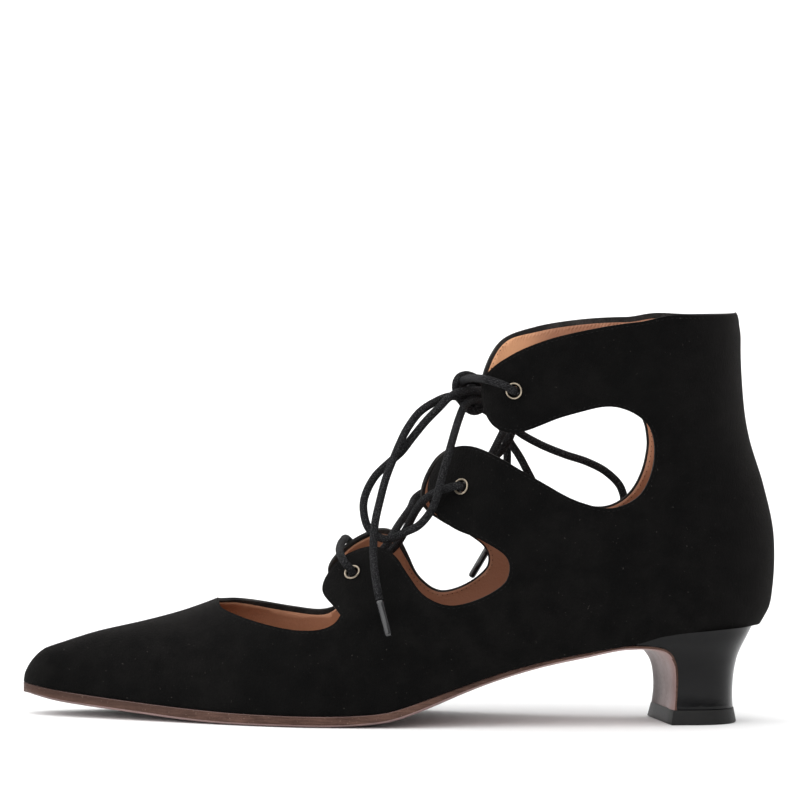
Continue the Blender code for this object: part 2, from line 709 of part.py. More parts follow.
def heel_ring(front, back, half):
    """A D outline from the breast's outer corner round the back to its inner corner."""
    start = front + 0.36 * (back - front)
    side = [(front + u * (start - front), BREAST_SHARE + (1 - BREAST_SHARE) * u) for u in HEEL_SIDE]
    for i in range(1, HEEL_ARC):
        angle = math.pi / 2 * i / HEEL_ARC
        side.append((start + (back - start) * math.sin(angle) ** 0.9, math.cos(angle) ** 0.9))
    left = [(x, -half * w) for x, w in side]
    right = [(x, half * w) for x, w in reversed(side)]
    return left + [(back, 0.0)] + right


def cap_across(bm, ring):
    """Closes a ring of odd count with strips from side to side, the last one a point."""
    count = len(ring)
    for i in range(count // 2 - 1):
        bm.faces.new((ring[i], ring[i + 1], ring[count - 2 - i], ring[count - 1 - i]))
    middle = count // 2
    bm.faces.new((ring[middle - 1], ring[middle], ring[middle + 1]))


def build_heel(material):
    loops = []
    for level in HEEL:
        loop = []
        for back, across in heel_ring(level.front, level.back, level.half):
            u = (back - level.front) / (level.back - level.front)
            dip = level.dip * across / level.half * (1.0 - u)
            p = heel_point(back, across, level.front_z - dip + u * (level.back_z - level.front_z))
            if level is HEEL[-1]:
                p.z = seat(p.x) - GAP - 0.1
            loop.append(p)
        loops.append(loop)
    bm = bmesh.new()
    rings = loft(bm, loops)
    cap_across(bm, rings[0])
    cap_across(bm, rings[-1])
    return new_object("heel", bm, material)


def build_top_lift(material):
    foot = HEEL[0]
    loops = []
    for z, grow in ((0.0, LIFT_FLARE - 0.4), (0.4, LIFT_FLARE), (LIFT_HEIGHT, 0.0)):
        ring = heel_ring(foot.front - FLAP_THICK - GAP - grow, foot.back + 0.3 + grow, foot.half + grow)
        loops.append([heel_point(back, across, z) for back, across in ring])
    bm = bmesh.new()
    rings = loft(bm, loops)
    cap_across(bm, rings[0])
    cap_across(bm, rings[-1])
    return new_object("top_lift", bm, material)


def build_insole(material):
    """A thin sock between the walls, on the sole and the heel seat."""
    inset = -(WALL + GAP + 0.5)
    loops = []
    for run in spaced(TOE_X + 7.0, FAN_X, 9.0) + spaced(FAN_X, FAN_X + FAN_RUN * 0.94, 4.5)[1:]:
        ends = (seat_edge(LATERAL, run, inset), seat_edge(MEDIAL, run, inset))
        low, high = [], []
        for u in (0.0, 0.5, 1.0):
            p = ends[0].lerp(ends[1], u)
            low.append(Vector((p.x, p.y, seat(p.x))))
            high.append(Vector((p.x, p.y, seat(p.x) + INSOLE_THICK)))
        loops.append(low + high[::-1])
    bm = bmesh.new()
    rings = loft(bm, loops)
    for ring in (rings[0], rings[-1]):
        bm.faces.new((ring[0], ring[1], ring[4], ring[5]))
        bm.faces.new((ring[1], ring[2], ring[3], ring[4]))
    return new_object("insole", bm, material)


# Eyelets and lace
def build_eyelet(name, side, row, material):
    """A ring on the outer face with a barrel through the tab."""
    centre, normal = eyelet_frame(side, row)
    deep, face = -(WALL + GAP), GAP + EYELET_THICK
    profile = (
        (EYELET_HOLE, deep), (EYELET_BARREL, deep), (EYELET_BARREL, GAP), (EYELET_FLANGE, GAP),
        (EYELET_FLANGE - 0.25, face), (EYELET_HOLE + 0.3, face), (EYELET_HOLE, face - 0.3),
    )
    bm = bmesh.new()
    verts = [bm.verts.new((radius, 0.0, z)) for radius, z in profile]
    loop = [bm.edges.new((a, b)) for a, b in zip(verts, verts[1:] + verts[:1])]
    bmesh.ops.spin(
        bm, geom=verts + loop, cent=(0, 0, 0), axis=(0, 0, 1), angle=2 * math.pi, steps=EYELET_SIDES
    )
    bmesh.ops.remove_doubles(bm, verts=bm.verts, dist=0.01)
    turn = normal.to_track_quat("Z", "Y").to_matrix().to_4x4()
    bmesh.ops.transform(bm, matrix=Matrix.Translation(centre) @ turn, verts=bm.verts)
    return new_object(name, bm, material)


def eyelet_way(eye):
    """The last two places of a strand at an eyelet: one beside its mouth, one further off."""
    centre, normal = eyelet_frame(eye.side, EYELETS[eye.number - 1])
    if eye.face == OUT:
        near = GAP + EYELET_THICK + GAP
        return [centre + normal * near, centre + normal * (near + 1.6)]
    deep = -(WALL + 2 * GAP)
    return [centre + normal * deep, centre + normal * (deep - 2.0)]


def knot_way(place):
    """The last two places of a strand at the knot: one on its face, one further off."""
    centre, radii = Vector(KNOT_CENTRE), Vector(KNOT_RADII)
    reach = Vector(place) - centre
    share = Vector(c / r for c, r in zip(reach, radii)).length
    normal = Vector(c / (r * r) for c, r in zip(reach, radii)).normalized()
    face = centre + reach / share + normal * GAP
    return [face, face + normal * 1.6]


def strand_points(strand):
    """A strand's route from end to end."""
    way = eyelet_way if isinstance(strand.end, Eye) else knot_way
    bends = [Vector(bend) for bend in strand.bends]
    return eyelet_way(strand.start) + bends + way(strand.end)[::-1]


def loop_points(loop):
    """A loop's route from the knot round to the knot."""
    return end_points(loop[:-1]) + knot_way(loop[-1])[::-1]


def end_points(end):
    """A free end's route from the knot."""
    return knot_way(end[0]) + [Vector(place) for place in end[1:]]


def build_lace(name, points, material, step=LACE_STEP, radius=LACE_RADIUS):
    """A round lace along a smooth route."""
    path = smooth_path(points, step)
    data = bpy.data.curves.new(name, "CURVE")
    data.dimensions = "3D"
    data.bevel_depth = radius * MM
    data.bevel_resolution = LACE_RING
    data.use_fill_caps = True
    spline = data.splines.new("POLY")
    spline.points.add(len(path) - 1)
    for point, place in zip(spline.points, path):
        point.co = (*(place * MM), 1.0)
    data.materials.append(material)
    thing = bpy.data.objects.new(name, data)
    bpy.context.scene.collection.objects.link(thing)
    return thing


def to_mesh_object(thing):
    """The same object as a mesh, its caps joined to its sides."""
    name = thing.name
    mesh = bpy.data.meshes.new_from_object(thing)
    bm = bmesh.new()
    bm.from_mesh(mesh)
    bmesh.ops.remove_doubles(bm, verts=bm.verts, dist=0.00001)
    bm.to_mesh(mesh)
    bm.free()
    bpy.data.objects.remove(thing, do_unlink=True)
    solid = bpy.data.objects.new(name, mesh)
    bpy.context.scene.collection.objects.link(solid)
    return solid


def build_crossing(name, strands, material):
    """Two strands of the lace joined where they cross."""
    first, second = (
        to_mesh_object(build_lace(name + tail, strand_points(strand), material))
        for tail, strand in zip(("", "_over"), strands)
    )
    second.hide_render = True
    second.display_type = "WIRE"
    join = first.modifiers.new("cross", "BOOLEAN")
    join.operation = "UNION"
    join.solver = "EXACT"
    join.object = second
    return first


def build_knot(material):
    bm = bmesh.new()
    bmesh.ops.create_uvsphere(bm, u_segments=14, v_segments=9, radius=1.0)
    bmesh.ops.scale(bm, vec=KNOT_RADII, verts=bm.verts)
    bmesh.ops.translate(bm, vec=KNOT_CENTRE, verts=bm.verts)
    return new_object("lace_knot", bm, material)


def main():
    for thing in list(bpy.data.objects):
        bpy.data.objects.remove(thing, do_unlink=True)
    suede = new_material("suede", (0.012, 0.011, 0.011), 0.95)
    leather = new_material("sole_leather", (0.16, 0.07, 0.04), 0.5)
    lacquer = new_material("heel_lacquer", (0.01, 0.01, 0.01), 0.2)
    rubber = new_material("lift_rubber", (0.015, 0.015, 0.015), 0.8)
    lining = new_material("lining_leather", (0.5, 0.33, 0.2), 0.6)
    brass = new_material("eyelet_brass", (0.35, 0.26, 0.13), 0.35, 1.0)
    cord = new_material("lace_cord", (0.015, 0.015, 0.016), 0.6)
    tip_plastic = new_material("aglet_plastic", (0.02, 0.02, 0.022), 0.25)
    build_upper(suede)
    build_outsole(leather)
    build_heel(lacquer)
    build_top_lift(rubber)
    build_insole(lining)
    for side, word in ((LATERAL, "lateral"), (MEDIAL, "medial")):
        for i, row in enumerate(EYELETS):
            build_eyelet(f"eyelet_{word}_{i + 1}", side, row, brass)
    build_lace("lace_bar", strand_points(LACE_BAR), cord)
    build_crossing("lace_cross_low", LOW_CROSS, cord)
    build_crossing("lace_cross_high", HIGH_CROSS, cord)
    build_lace("lace_tie_lateral", strand_points(LATERAL_TIE), cord)
    build_lace("lace_tie_medial", strand_points(MEDIAL_TIE), cord)
    build_knot(cord)
    for word, loop, end, aglet in (
        ("lateral", LATERAL_LOOP, LATERAL_END, LATERAL_AGLET),
        ("medial", MEDIAL_LOOP, MEDIAL_END, MEDIAL_AGLET),
    ):
        build_lace("lace_loop_" + word, loop_points(loop), cord)
        build_lace("lace_end_" + word, end_points(end), cord)
        build_lace("aglet_" + word, [Vector(place) for place in aglet], tip_plastic, step=20.0)


main()
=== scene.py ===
"""Dresses a low-heeled lace-up shoe: suede, lining, stitching, sole, heel, brass eyelets and a tied lace.

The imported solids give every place. Tables of the lace's route, the creases and the eyelets are in
millimetres, as in the part's source, and everything else is in metres.
"""

import math
from collections import namedtuple
from functools import cached_property

import bmesh
import bpy
import numpy as np
from bpy.props import FloatProperty, FloatVectorProperty, PointerProperty
from bpy.types import Operator, Panel, PropertyGroup
from mathutils import Matrix, Vector
from mathutils.bvhtree import BVHTree
from mathutils.kdtree import KDTree


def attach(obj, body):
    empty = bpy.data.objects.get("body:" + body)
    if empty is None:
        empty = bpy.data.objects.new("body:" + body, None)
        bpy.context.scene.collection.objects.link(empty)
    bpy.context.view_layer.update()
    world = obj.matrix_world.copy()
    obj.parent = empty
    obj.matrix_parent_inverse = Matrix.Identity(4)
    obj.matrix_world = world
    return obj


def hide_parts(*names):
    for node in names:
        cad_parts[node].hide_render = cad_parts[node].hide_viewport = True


bl_info = {
    "name": "Laced Shoe",
    "version": (1, 0, 0),
    "blender": (4, 5, 0),
    "location": "View3D > Sidebar > Shoe",
    "description": "Dresses a laced shoe's solids with suede, lining, stitches, brass and a tied lace",
    "category": "Object",
}

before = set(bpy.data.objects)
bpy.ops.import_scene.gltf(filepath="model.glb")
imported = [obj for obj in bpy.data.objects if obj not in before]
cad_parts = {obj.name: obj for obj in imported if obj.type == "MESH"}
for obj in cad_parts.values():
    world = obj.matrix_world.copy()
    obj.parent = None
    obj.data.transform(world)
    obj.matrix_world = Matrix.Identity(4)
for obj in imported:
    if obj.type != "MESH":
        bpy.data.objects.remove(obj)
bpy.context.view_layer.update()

MM = 0.001
SHARP = math.radians(38.0)
EYELETS = tuple(f"eyelet_{side}_{number}" for side in ("lateral", "medial") for number in (1, 2, 3))

# The lacing from the knot's outer side, through the eyelets and back to the knot
OUT, IN = 1, -1
Eye = namedtuple("Eye", "node leaves")
LACING = (
    (23.4, 4.4, 115.6), (21.2, 3.0, 116.8), (20.2, 0.2, 118.4), (20.7, -4.0, 119.8),
    (21.9, -10.0, 120.8), (23.2, -18.0, 121.5), (24.6, -26.0, 121.9), (26.3, -32.5, 122.0),
    (28.5, -35.4, 121.6), (31.3, -36.6, 120.8), (33.7, -37.0, 119.9),
    Eye("eyelet_lateral_3", IN),
    (38.8, -16.0, 108.4), (36.0, -3.2, 97.0), (25.0, 11.4, 84.6),
    Eye("eyelet_medial_2", OUT),
    (13.4, 22.4, 80.4), (8.6, 21.4, 78.5), (5.6, 17.8, 76.6), (3.6, 11.0, 73.6), (-0.3, 3.0, 69.1),
    (-2.6, -4.0, 66.5), (-5.1, -9.5, 63.1), (-8.6, -15.0, 59.0), (-12.6, -18.4, 54.6),
    Eye("eyelet_lateral_1", OUT),
    (-20.9, -25.9, 56.6), (-22.3, -22.0, 59.0), (-22.4, -12.0, 60.2), (-21.6, 0.0, 60.9),
    (-20.2, 12.0, 61.6), (-18.4, 20.6, 61.6),
    Eye("eyelet_medial_1", IN),
    (-7.4, 15.0, 55.6), (-3.4, 10.0, 58.4), (-0.8, 5.0, 61.9), (1.1, -1.0, 66.2), (2.3, -6.0, 69.4),
    (3.9, -12.6, 73.8), (5.4, -17.4, 76.8), (6.9, -21.0, 79.0), (9.0, -24.2, 80.9), (12.2, -26.6, 82.6),
    Eye("eyelet_lateral_2", IN),
    (25.6, -18.0, 86.6), (34.0, -2.8, 99.4), (38.6, 8.0, 108.0),
    Eye("eyelet_medial_3", OUT),
    (34.0, 25.2, 118.6), (29.4, 23.6, 118.0), (25.6, 18.6, 117.6), (24.2, 10.0, 117.0),
    (24.2, 4.4, 116.4),
)

# The bow: its wrapped knot, two loops and two free ends with their tips
KNOT_WRAP = (
    (27.6, 4.6, 118.6), (25.9, 2.6, 120.2), (23.6, 0.2, 121.4), (21.5, -2.0, 121.8),
    (19.5, -3.0, 121.1), (18.4, -3.5, 119.4), (18.2, -3.4, 117.4), (19.0, -2.4, 114.9),
    (20.5, -1.4, 112.2), (22.6, -0.8, 109.8), (25.0, 0.0, 108.8), (27.5, 1.4, 109.6),
    (29.3, 3.0, 112.4), (29.3, 4.6, 115.4), (27.4, 5.8, 118.2), (24.4, 5.4, 119.6), (21.6, 4.2, 118.8),
    (20.6, 3.4, 116.4), (21.2, 3.4, 113.6), (23.0, 3.8, 111.8), (25.4, 4.4, 112.0), (26.6, 4.4, 114.2),
    (25.6, 3.4, 116.4), (24.0, 2.4, 117.0), (23.3, 2.2, 114.8), (23.8, 2.8, 111.8), (24.6, 3.2, 109.4),
)
LATERAL_LOOP = (
    (29.0, -0.6, 116.3), (26.5, -4.0, 116.5), (22.1, -7.0, 116.4), (18.7, -9.6, 116.0),
    (15.4, -10.8, 114.2), (12.2, -11.2, 110.9), (7.4, -11.4, 105.9), (2.6, -11.6, 99.9),
    (-1.2, -11.8, 94.9), (-5.1, -12.0, 91.4), (-10.7, -12.6, 85.7), (-14.1, -13.4, 78.0),
    (-13.9, -14.6, 72.1), (-12.3, -16.0, 68.0), (-8.5, -17.6, 65.1), (-5.1, -19.4, 64.8),
    (0.0, -22.0, 67.4), (4.4, -24.2, 69.8), (8.1, -26.8, 74.3), (10.3, -29.6, 79.4),
    (11.2, -31.4, 83.7), (12.8, -31.4, 90.0), (14.7, -28.6, 96.2), (16.8, -22.0, 102.2),
    (18.9, -15.0, 107.4), (20.9, -9.4, 111.0), (23.6, -5.4, 113.1), (26.6, -2.0, 112.9),
    (29.0, 1.2, 112.4),
)
LATERAL_END = (
    (22.5, 0.6, 114.2), (19.1, -1.6, 114.1), (15.5, -4.4, 114.2), (11.1, -7.0, 112.6),
    (5.3, -10.0, 109.0), (0.7, -13.0, 103.1), (-1.8, -15.0, 98.3), (-3.9, -16.6, 93.4),
    (-6.8, -19.6, 86.2), (-8.9, -22.6, 78.7), (-10.7, -25.6, 70.8), (-11.3, -28.6, 63.0),
    (-11.0, -32.0, 55.2), (-10.0, -35.4, 48.3), (-9.3, -36.8, 44.8),
)
LATERAL_TIP = ((-9.22, -36.95, 44.5), (-6.1, -40.6, 32.4))
MEDIAL_LOOP = (
    (24.8, 1.6, 115.4), (25.8, 7.4, 114.8), (25.6, 14.4, 114.6), (28.0, 20.8, 113.2),
    (33.2, 24.0, 110.0), (37.4, 24.6, 105.4), (42.0, 25.0, 100.6), (50.0, 25.0, 96.0),
    (59.0, 24.6, 92.4), (67.2, 24.4, 89.8), (74.2, 24.4, 86.2), (79.4, 24.6, 80.8), (80.4, 24.8, 75.0),
    (75.0, 24.4, 70.6), (67.0, 24.2, 69.2), (58.0, 24.4, 71.6), (51.0, 24.6, 77.4), (46.6, 24.8, 85.0),
    (43.2, 24.8, 91.2), (39.6, 24.8, 96.6), (36.8, 24.4, 101.2), (32.6, 23.4, 106.4),
    (27.4, 21.2, 109.6), (25.2, 13.4, 110.4), (24.4, 6.4, 111.2), (23.8, 1.4, 112.4),
)
MEDIAL_END = (
    (21.4, 2.0, 113.4), (20.2, 7.0, 112.8), (21.6, 16.0, 112.0), (24.0, 24.4, 111.2),
    (32.0, 27.4, 108.2), (36.8, 28.4, 101.8), (38.6, 28.0, 95.0), (38.8, 27.2, 88.0),
    (38.2, 27.0, 80.0), (36.6, 27.2, 70.0), (33.1, 27.8, 59.4),
)
MEDIAL_TIP = ((32.95, 27.8, 59.05), (26.5, 28.8, 47.7))

# How far the collar's back corner stands out
CORNER = 0.0008

# Vertices nearer than this are one
MERGE = 1e-6

# From an eyelet's seat on the suede: its rim's height, and where the lace goes in and comes out
EYELET_RIM = 0.0009
EYELET_PASS = (0.0023, 0.0007, -0.0016, -0.0042)

# From one ring of a lace's tube to the next
LACE_STEP = 0.0009

# Soft steps of tone, along an axis or away from an edge: where each starts and where it is full.
# On the lining, the waist and collar steps paint shade and the front step paints light. On the sole, the
# shade reach paints shade under the upper, and the outer and breast steps paint light on its face.
WAIST_SHADE_X, WAIST_SHADE_Z = (-0.012, 0.012), (0.105, 0.060)
COLLAR_SHADE_Z = (0.106, 0.118)
FRONT_LIGHT_X, FRONT_LIGHT_Z = (0.056, 0.036), (0.100, 0.120)
TOE_X, SHADE_REACH = (-0.030, -0.120), (0.0034, 0.0006)
FLAP_X, FLAP_BORDER = (0.078, 0.084), (0.0005, 0.0010)
OUTER_LIGHT_Y, BREAST_LIGHT_Z = (0.016, -0.020), (0.012, 0.027)
PLEAT_PITCH, PLEAT_REACH = 0.0013, (0.0034, 0.0002)
BRAID_STRANDS, BRAID_PITCH = 8.0, 0.00115

# Hollows and swells of the suede: middle, reach along and across, direction and depth
Crease = namedtuple("Crease", "place along across heading depth")
CREASES = tuple(Crease(*row) for row in (
    ((-30.0, -30.0, 40.0), 15.0, 2.6, (0.518, -0.207, 0.830), -0.35),
    ((-22.0, -33.0, 36.0), 16.0, 3.0, (0.636, -0.212, 0.742), 0.30),
    ((20.0, -36.0, 60.0), 12.0, 2.4, (0.707, 0.000, 0.707), -0.30),
    ((28.0, -36.0, 66.0), 14.0, 3.0, (0.600, 0.000, 0.800), 0.25),
    ((60.0, -34.0, 70.0), 18.0, 4.0, (0.848, 0.000, 0.530), -0.25),
    ((-80.0, -12.0, 34.0), 12.0, 3.4, (0.212, 0.954, 0.212), -0.25),
    ((-28.0, 30.0, 42.0), 15.0, 2.8, (0.518, 0.207, 0.830), -0.35),
    ((22.0, 26.0, 62.0), 13.0, 2.8, (0.707, 0.000, 0.707), -0.30),
    ((62.0, 24.0, 72.0), 18.0, 4.0, (0.848, 0.000, 0.530), 0.25),
))


def setting(kind, **fixed):
    """A short call for one kind of property."""
    return lambda name, default, about: kind(name=name, description=about, default=default, **fixed)


length = setting(FloatProperty, min=0.0, unit="LENGTH")
level = setting(FloatProperty, min=0.0)
angle = setting(FloatProperty, subtype="ANGLE", unit="ROTATION")
colour = setting(FloatVectorProperty, size=3, min=0.0, max=1.0, subtype="COLOR")
spot = setting(FloatVectorProperty, size=3, subtype="TRANSLATION", unit="LENGTH")


class ShoeSizes(PropertyGroup):
    """Sizes of the pieces that dress the shoe"""

    suede_thick: length("Suede", 0.0011, "Thickness of the suede")
    lining_thick: length("Lining", 0.00065, "Thickness of the lining leather")
    lining_inset: length("Lining inset", 0.0019, "From the throat's and the collar's edge to the lining")
    lining_trim: length("Lining trim", 0.0007, "From the edge of a cut-out to the lining")
    stitch_inset: length("Stitch inset", 0.00105, "From a cut edge to the row of stitches")
    stitch_pitch: length("Stitch pitch", 0.0018, "From one stitch to the next")
    thread: length("Thread", 0.00025, "Thickness of the sewing thread")
    lace: length("Lace", 0.00285, "Diameter of the lace")
    tip: length("Lace tip", 0.0027, "Diameter of the lace's tips")


class ShoeColours(PropertyGroup):
    """Colours of the pieces that dress the shoe"""

    suede: colour("Suede", (0.0013, 0.0013, 0.0013), "The suede where its nap lies dark")
    suede_worn: colour("Suede nap", (0.0046, 0.0043, 0.0041), "The suede where its nap lies light")
    thread: colour("Thread", (0.0044, 0.0043, 0.0042), "The sewing thread")
    dust: colour("Dust", (0.06, 0.055, 0.05), "A few flecks on the suede")
    lining: colour("Lining", (0.495, 0.238, 0.139), "The lining leather")
    sock: colour("Sock", (0.32, 0.155, 0.095), "The sock on the sole, inside")
    # Painted light: the lining's lighter colour at the collar's front
    lining_painted_light: colour("Lining light", (0.70, 0.362, 0.195), "The lining leather at the collar's front")
    # Painted shade: the lining's dark colour, laid low inside the waist and along the collar's top
    lining_painted_shade: colour("Lining shade", (0.25, 0.110, 0.064), "The lining where it is rubbed dark")
    sole: colour("Sole edge", (0.118, 0.062, 0.046), "The sole's stained edge")
    # The dark end of the sole's stain, also used as painted shade under the upper
    sole_stain_and_shade: colour("Sole shade", (0.034, 0.015, 0.010), "The sole's edge where the stain is deep")
    sole_fleck: colour("Sole flecks", (0.42, 0.30, 0.24), "Pale fibres in the sole's edge")
    # The lit end of the sole's face; its painted shade is a small share of this colour
    sole_face: colour("Sole face", (0.36, 0.245, 0.232), "The varnished underside and heel breast")
    heel: colour("Heel", (0.003, 0.003, 0.0033), "The lacquer of the heel")
    lift: colour("Top lift", (0.0125, 0.0122, 0.012), "The rubber top lift")
    brass: colour("Brass", (0.46, 0.39, 0.30), "The eyelets")
    # Partly tarnish, partly painted shade: the dark brass inside the holes
    tarnish: colour("Tarnish", (0.020, 0.016, 0.012), "The brass inside an eyelet's hole")
    lace: colour("Lace", (0.0090, 0.0090, 0.0096), "The lace's yarn")
    # Painted glints: pale flecks that stand in for the waxed yarn's sparkle
    lace_fleck: colour("Lace flecks", (0.10, 0.10, 0.105), "Pale fibres in the lace")
    tip: colour("Lace tip", (0.010, 0.010, 0.011), "The lace's tips")
    floor: colour("Floor", (0.90, 0.90, 0.90), "The studio floor")


class ShoeStudio(PropertyGroup):
    """The camera and the light"""

    eye: spot("Camera", (-0.13049, -2.48987, 0.2531), "Where the camera stands")
    aim: spot("Aim", (-0.00124, 0.0, 0.11255), "The point at the middle of the picture")
    roll: angle("Roll", math.radians(0.8), "Turn of the camera about its axis")
    lens: level("Lens", 318.4, "Focal length on a 36 mm wide sensor, in millimetres")
    sky: level("Sky", 0.85, "Brightness of the studio behind the shoe")
    room: level("Room", 0.22, "Brightness of the room before the shoe")
    side: level("Side", 0.5, "Added brightness beyond the toe")
    lamp: level("Lamp", 3.5, "Strength of the wide lamp above")


# Meshes
def mm(rows):
    return [Vector(row) * MM for row in rows]


def joined_copy(node):
    """A node's triangles as one joined bmesh."""
    bm = bmesh.new()
    bm.from_mesh(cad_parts[node].data)
    bmesh.ops.remove_doubles(bm, verts=bm.verts, dist=MERGE)
    bm.normal_update()
    return bm


def islands(bm):
    """The faces of each separate patch."""
    left, found = set(bm.faces), []
    while left:
        patch, front = set(), [left.pop()]
        while front:
            face = front.pop()
            patch.add(face)
            for edge in face.edges:
                for other in edge.link_faces:
                    if other in left:
                        left.discard(other)
                        front.append(other)
        found.append(patch)
    return found


def sharp_edges(bm, angle=SHARP):
    return [e for e in bm.edges if len(e.link_faces) == 2 and e.calc_face_angle(0.0) > angle]


def boundary_heading(vert, other):
    """The direction of the boundary at a vertex on the way to another, straight at a corner."""
    ahead = other.co - vert.co
    ends = (e.other_vert(vert) for e in vert.link_edges if e.is_boundary)
    back = next((end for end in ends if end is not other), None)
    if back is None:
        return ahead.normalized()
    behind = vert.co - back.co
    if behind.length < 1e-9 or ahead.length < 1e-9 or behind.angle(ahead) > SHARP:
        return ahead.normalized()
    whole = behind.length + ahead.length
    return (behind.normalized() * ahead.length + ahead.normalized() * behind.length) / whole


def refine(bm):
    """Halves every edge, twice, and rounds the new vertices out to the smooth surface between creases."""
    corner = bm.verts.layers.int.new("corner")
    for _ in range(2):
        bm.normal_update()
        places = []
        for i, vert in enumerate(bm.verts):
            vert[corner] = i
            places.append(vert.co.copy())
        middles = {}
        for edge in bm.edges:
            a, b = edge.verts
            middle, span = (a.co + b.co) / 2, b.co - a.co
            if edge.is_boundary:
                bow = (boundary_heading(a, b) + boundary_heading(b, a)) * span.length
            else:
                bow = b.normal * span.dot(b.normal) - a.normal * span.dot(a.normal)
            middles[frozenset((a[corner], b[corner]))] = middle + bow / 8
        bmesh.ops.subdivide_edges(bm, edges=bm.edges[:], cuts=1, use_grid_fill=True)
        old = {v for v in bm.verts if v.co == places[v[corner]]}
        for vert in bm.verts:
            if vert not in old:
                beside = (e.other_vert(vert) for e in vert.link_edges)
                vert.co = middles[frozenset(v[corner] for v in beside if v in old)]
    bm.verts.layers.int.remove(corner)
    bm.normal_update()


def smooth_copy(node):
    """A node's mesh with its faces rounded between its sharp edges, and none of it under the floor."""
    bm = joined_copy(node)
    bmesh.ops.split_edges(bm, edges=sharp_edges(bm))
    refine(bm)
    bmesh.ops.remove_doubles(bm, verts=bm.verts, dist=2 * MERGE)
    for vert in bm.verts:
        vert.co.z = max(vert.co.z, 0.0)
    bm.normal_update()
    return bm


def soften(bm, width):
    """Rounds the sharp edges a little, so that they catch light."""
    bmesh.ops.bevel(
        bm, geom=sharp_edges(bm), offset=width, offset_type="OFFSET", affect="EDGES",
        segments=2, profile=0.5, material=-1, clamp_overlap=True,
    )


def turned(profile, steps):
    """A profile of radii and heights spun round the Z axis."""
    bm = bmesh.new()
    verts = [bm.verts.new((radius, 0.0, height)) for radius, height in profile]
    ring = verts if profile[0][0] == 0.0 else verts + verts[:1]
    edges = [bm.edges.new(pair) for pair in zip(ring, ring[1:])]
    bmesh.ops.spin(
        bm, geom=verts + edges, cent=(0, 0, 0), axis=(0, 0, 1), angle=2 * math.pi, steps=steps,
        use_merge=True,
    )
    bmesh.ops.remove_doubles(bm, verts=bm.verts, dist=MERGE / 10)
    bmesh.ops.recalc_face_normals(bm, faces=bm.faces)
    return bm


def carry(bm, place, heading):
    """Moves a shape from the origin to a place, with its Z axis along a heading."""
    turn = heading.to_track_quat("Z", "Y").to_matrix().to_4x4()
    bmesh.ops.transform(bm, matrix=Matrix.Translation(place) @ turn, verts=bm.verts)


def ended(name, bm):
    """A bmesh as a finished mesh."""
    mesh = bpy.data.meshes.new(name)
    bm.to_mesh(mesh)
    bm.free()
    return mesh


def put(name, data):
    """A new object of some data, in the scene."""
    made = bpy.data.objects.new(name, data)
    bpy.context.scene.collection.objects.link(made)
    return made


def thicken(piece, thick):
    """Gives a sheet its thickness, inward."""
    wall = piece.modifiers.new("thickness", "SOLIDIFY")
    wall.thickness = thick
    wall.offset = -1.0
    return wall


def add_piece(name, form, materials, replaces=()):
    """Ends a bmesh or a mesh as a piece that rides on the shoe."""
    mesh = ended(name, form) if isinstance(form, bmesh.types.BMesh) else form
    for material in materials:
        mesh.materials.append(material)
    mesh.shade_smooth()
    mesh.set_sharp_from_angle(angle=SHARP)
    piece = put(name, mesh)
    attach(piece, "root")
    if replaces:
        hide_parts(*replaces)
    return piece


# Routes
def smooth_path(points, step):
    """Points at about one step along a smooth curve through the given points."""
    ends = [points[0] * 2 - points[1]] + list(points) + [points[-1] * 2 - points[-2]]
    path = []
    for a, b, c, d in zip(ends, ends[1:], ends[2:], ends[3:]):
        ab, bc, cd = ((q - p).length ** 0.5 + 1e-9 for p, q in ((a, b), (b, c), (c, d)))
        leave = bc * ((b - a) / ab - (c - a) / (ab + bc) + (c - b) / bc)
        arrive = bc * ((c - b) / bc - (d - b) / (bc + cd) + (d - c) / cd)
        count = max(1, round((c - b).length / step))
        for i in range(count):
            u = i / count
            rest = 1 - u
            path.append(
                b * ((1 + 2 * u) * rest * rest) + c * ((3 - 2 * u) * u * u)
                + leave * (u * rest * rest) - arrive * (u * u * rest)
            )
    path.append(points[-1].copy())
    return path


def path_length(path):
    return sum((b - a).length for a, b in zip(path, path[1:]))


def evenly(path, pitch):
    """Places and headings at an even pitch round a closed path."""
    ring = path + path[:1]
    count = max(3, round(path_length(ring) / pitch))
    pitch = path_length(ring) / count
    found, done, due = [], 0.0, 0.0
    for a, b in zip(ring, ring[1:]):
        span = (b - a).length
        while span > 0 and due <= done + span and len(found) < count:
            found.append((a.lerp(b, (due - done) / span), (b - a) / span))
            due += pitch
        done += span
    return found


def eyelet_axes(node):
    """Where an eyelet meets the suede, and the direction out of its hole."""
    places = np.unique([np.round(v.co, 7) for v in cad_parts[node].data.vertices], axis=0)
    middle = places.mean(axis=0)
    _, axes = np.linalg.eigh(np.cov((places - middle).T))
    normal = axes[:, 0] * (1 if ("medial" in node) == (axes[1, 0] > 0) else -1)
    top = ((places - middle) @ normal).max()
    return Vector(middle + normal * (top - EYELET_RIM)), Vector(normal)


def lacing_points():
    """The bends of the lacing with its passes through the eyelets."""
    points = []
    for stop in LACING:
        if isinstance(stop, Eye):
            place, normal = eyelet_axes(stop.node)
            depths = EYELET_PASS if stop.leaves == IN else EYELET_PASS[::-1]
            points += [place + normal * depth for depth in depths]
        else:
            points += mm([stop])
    return points


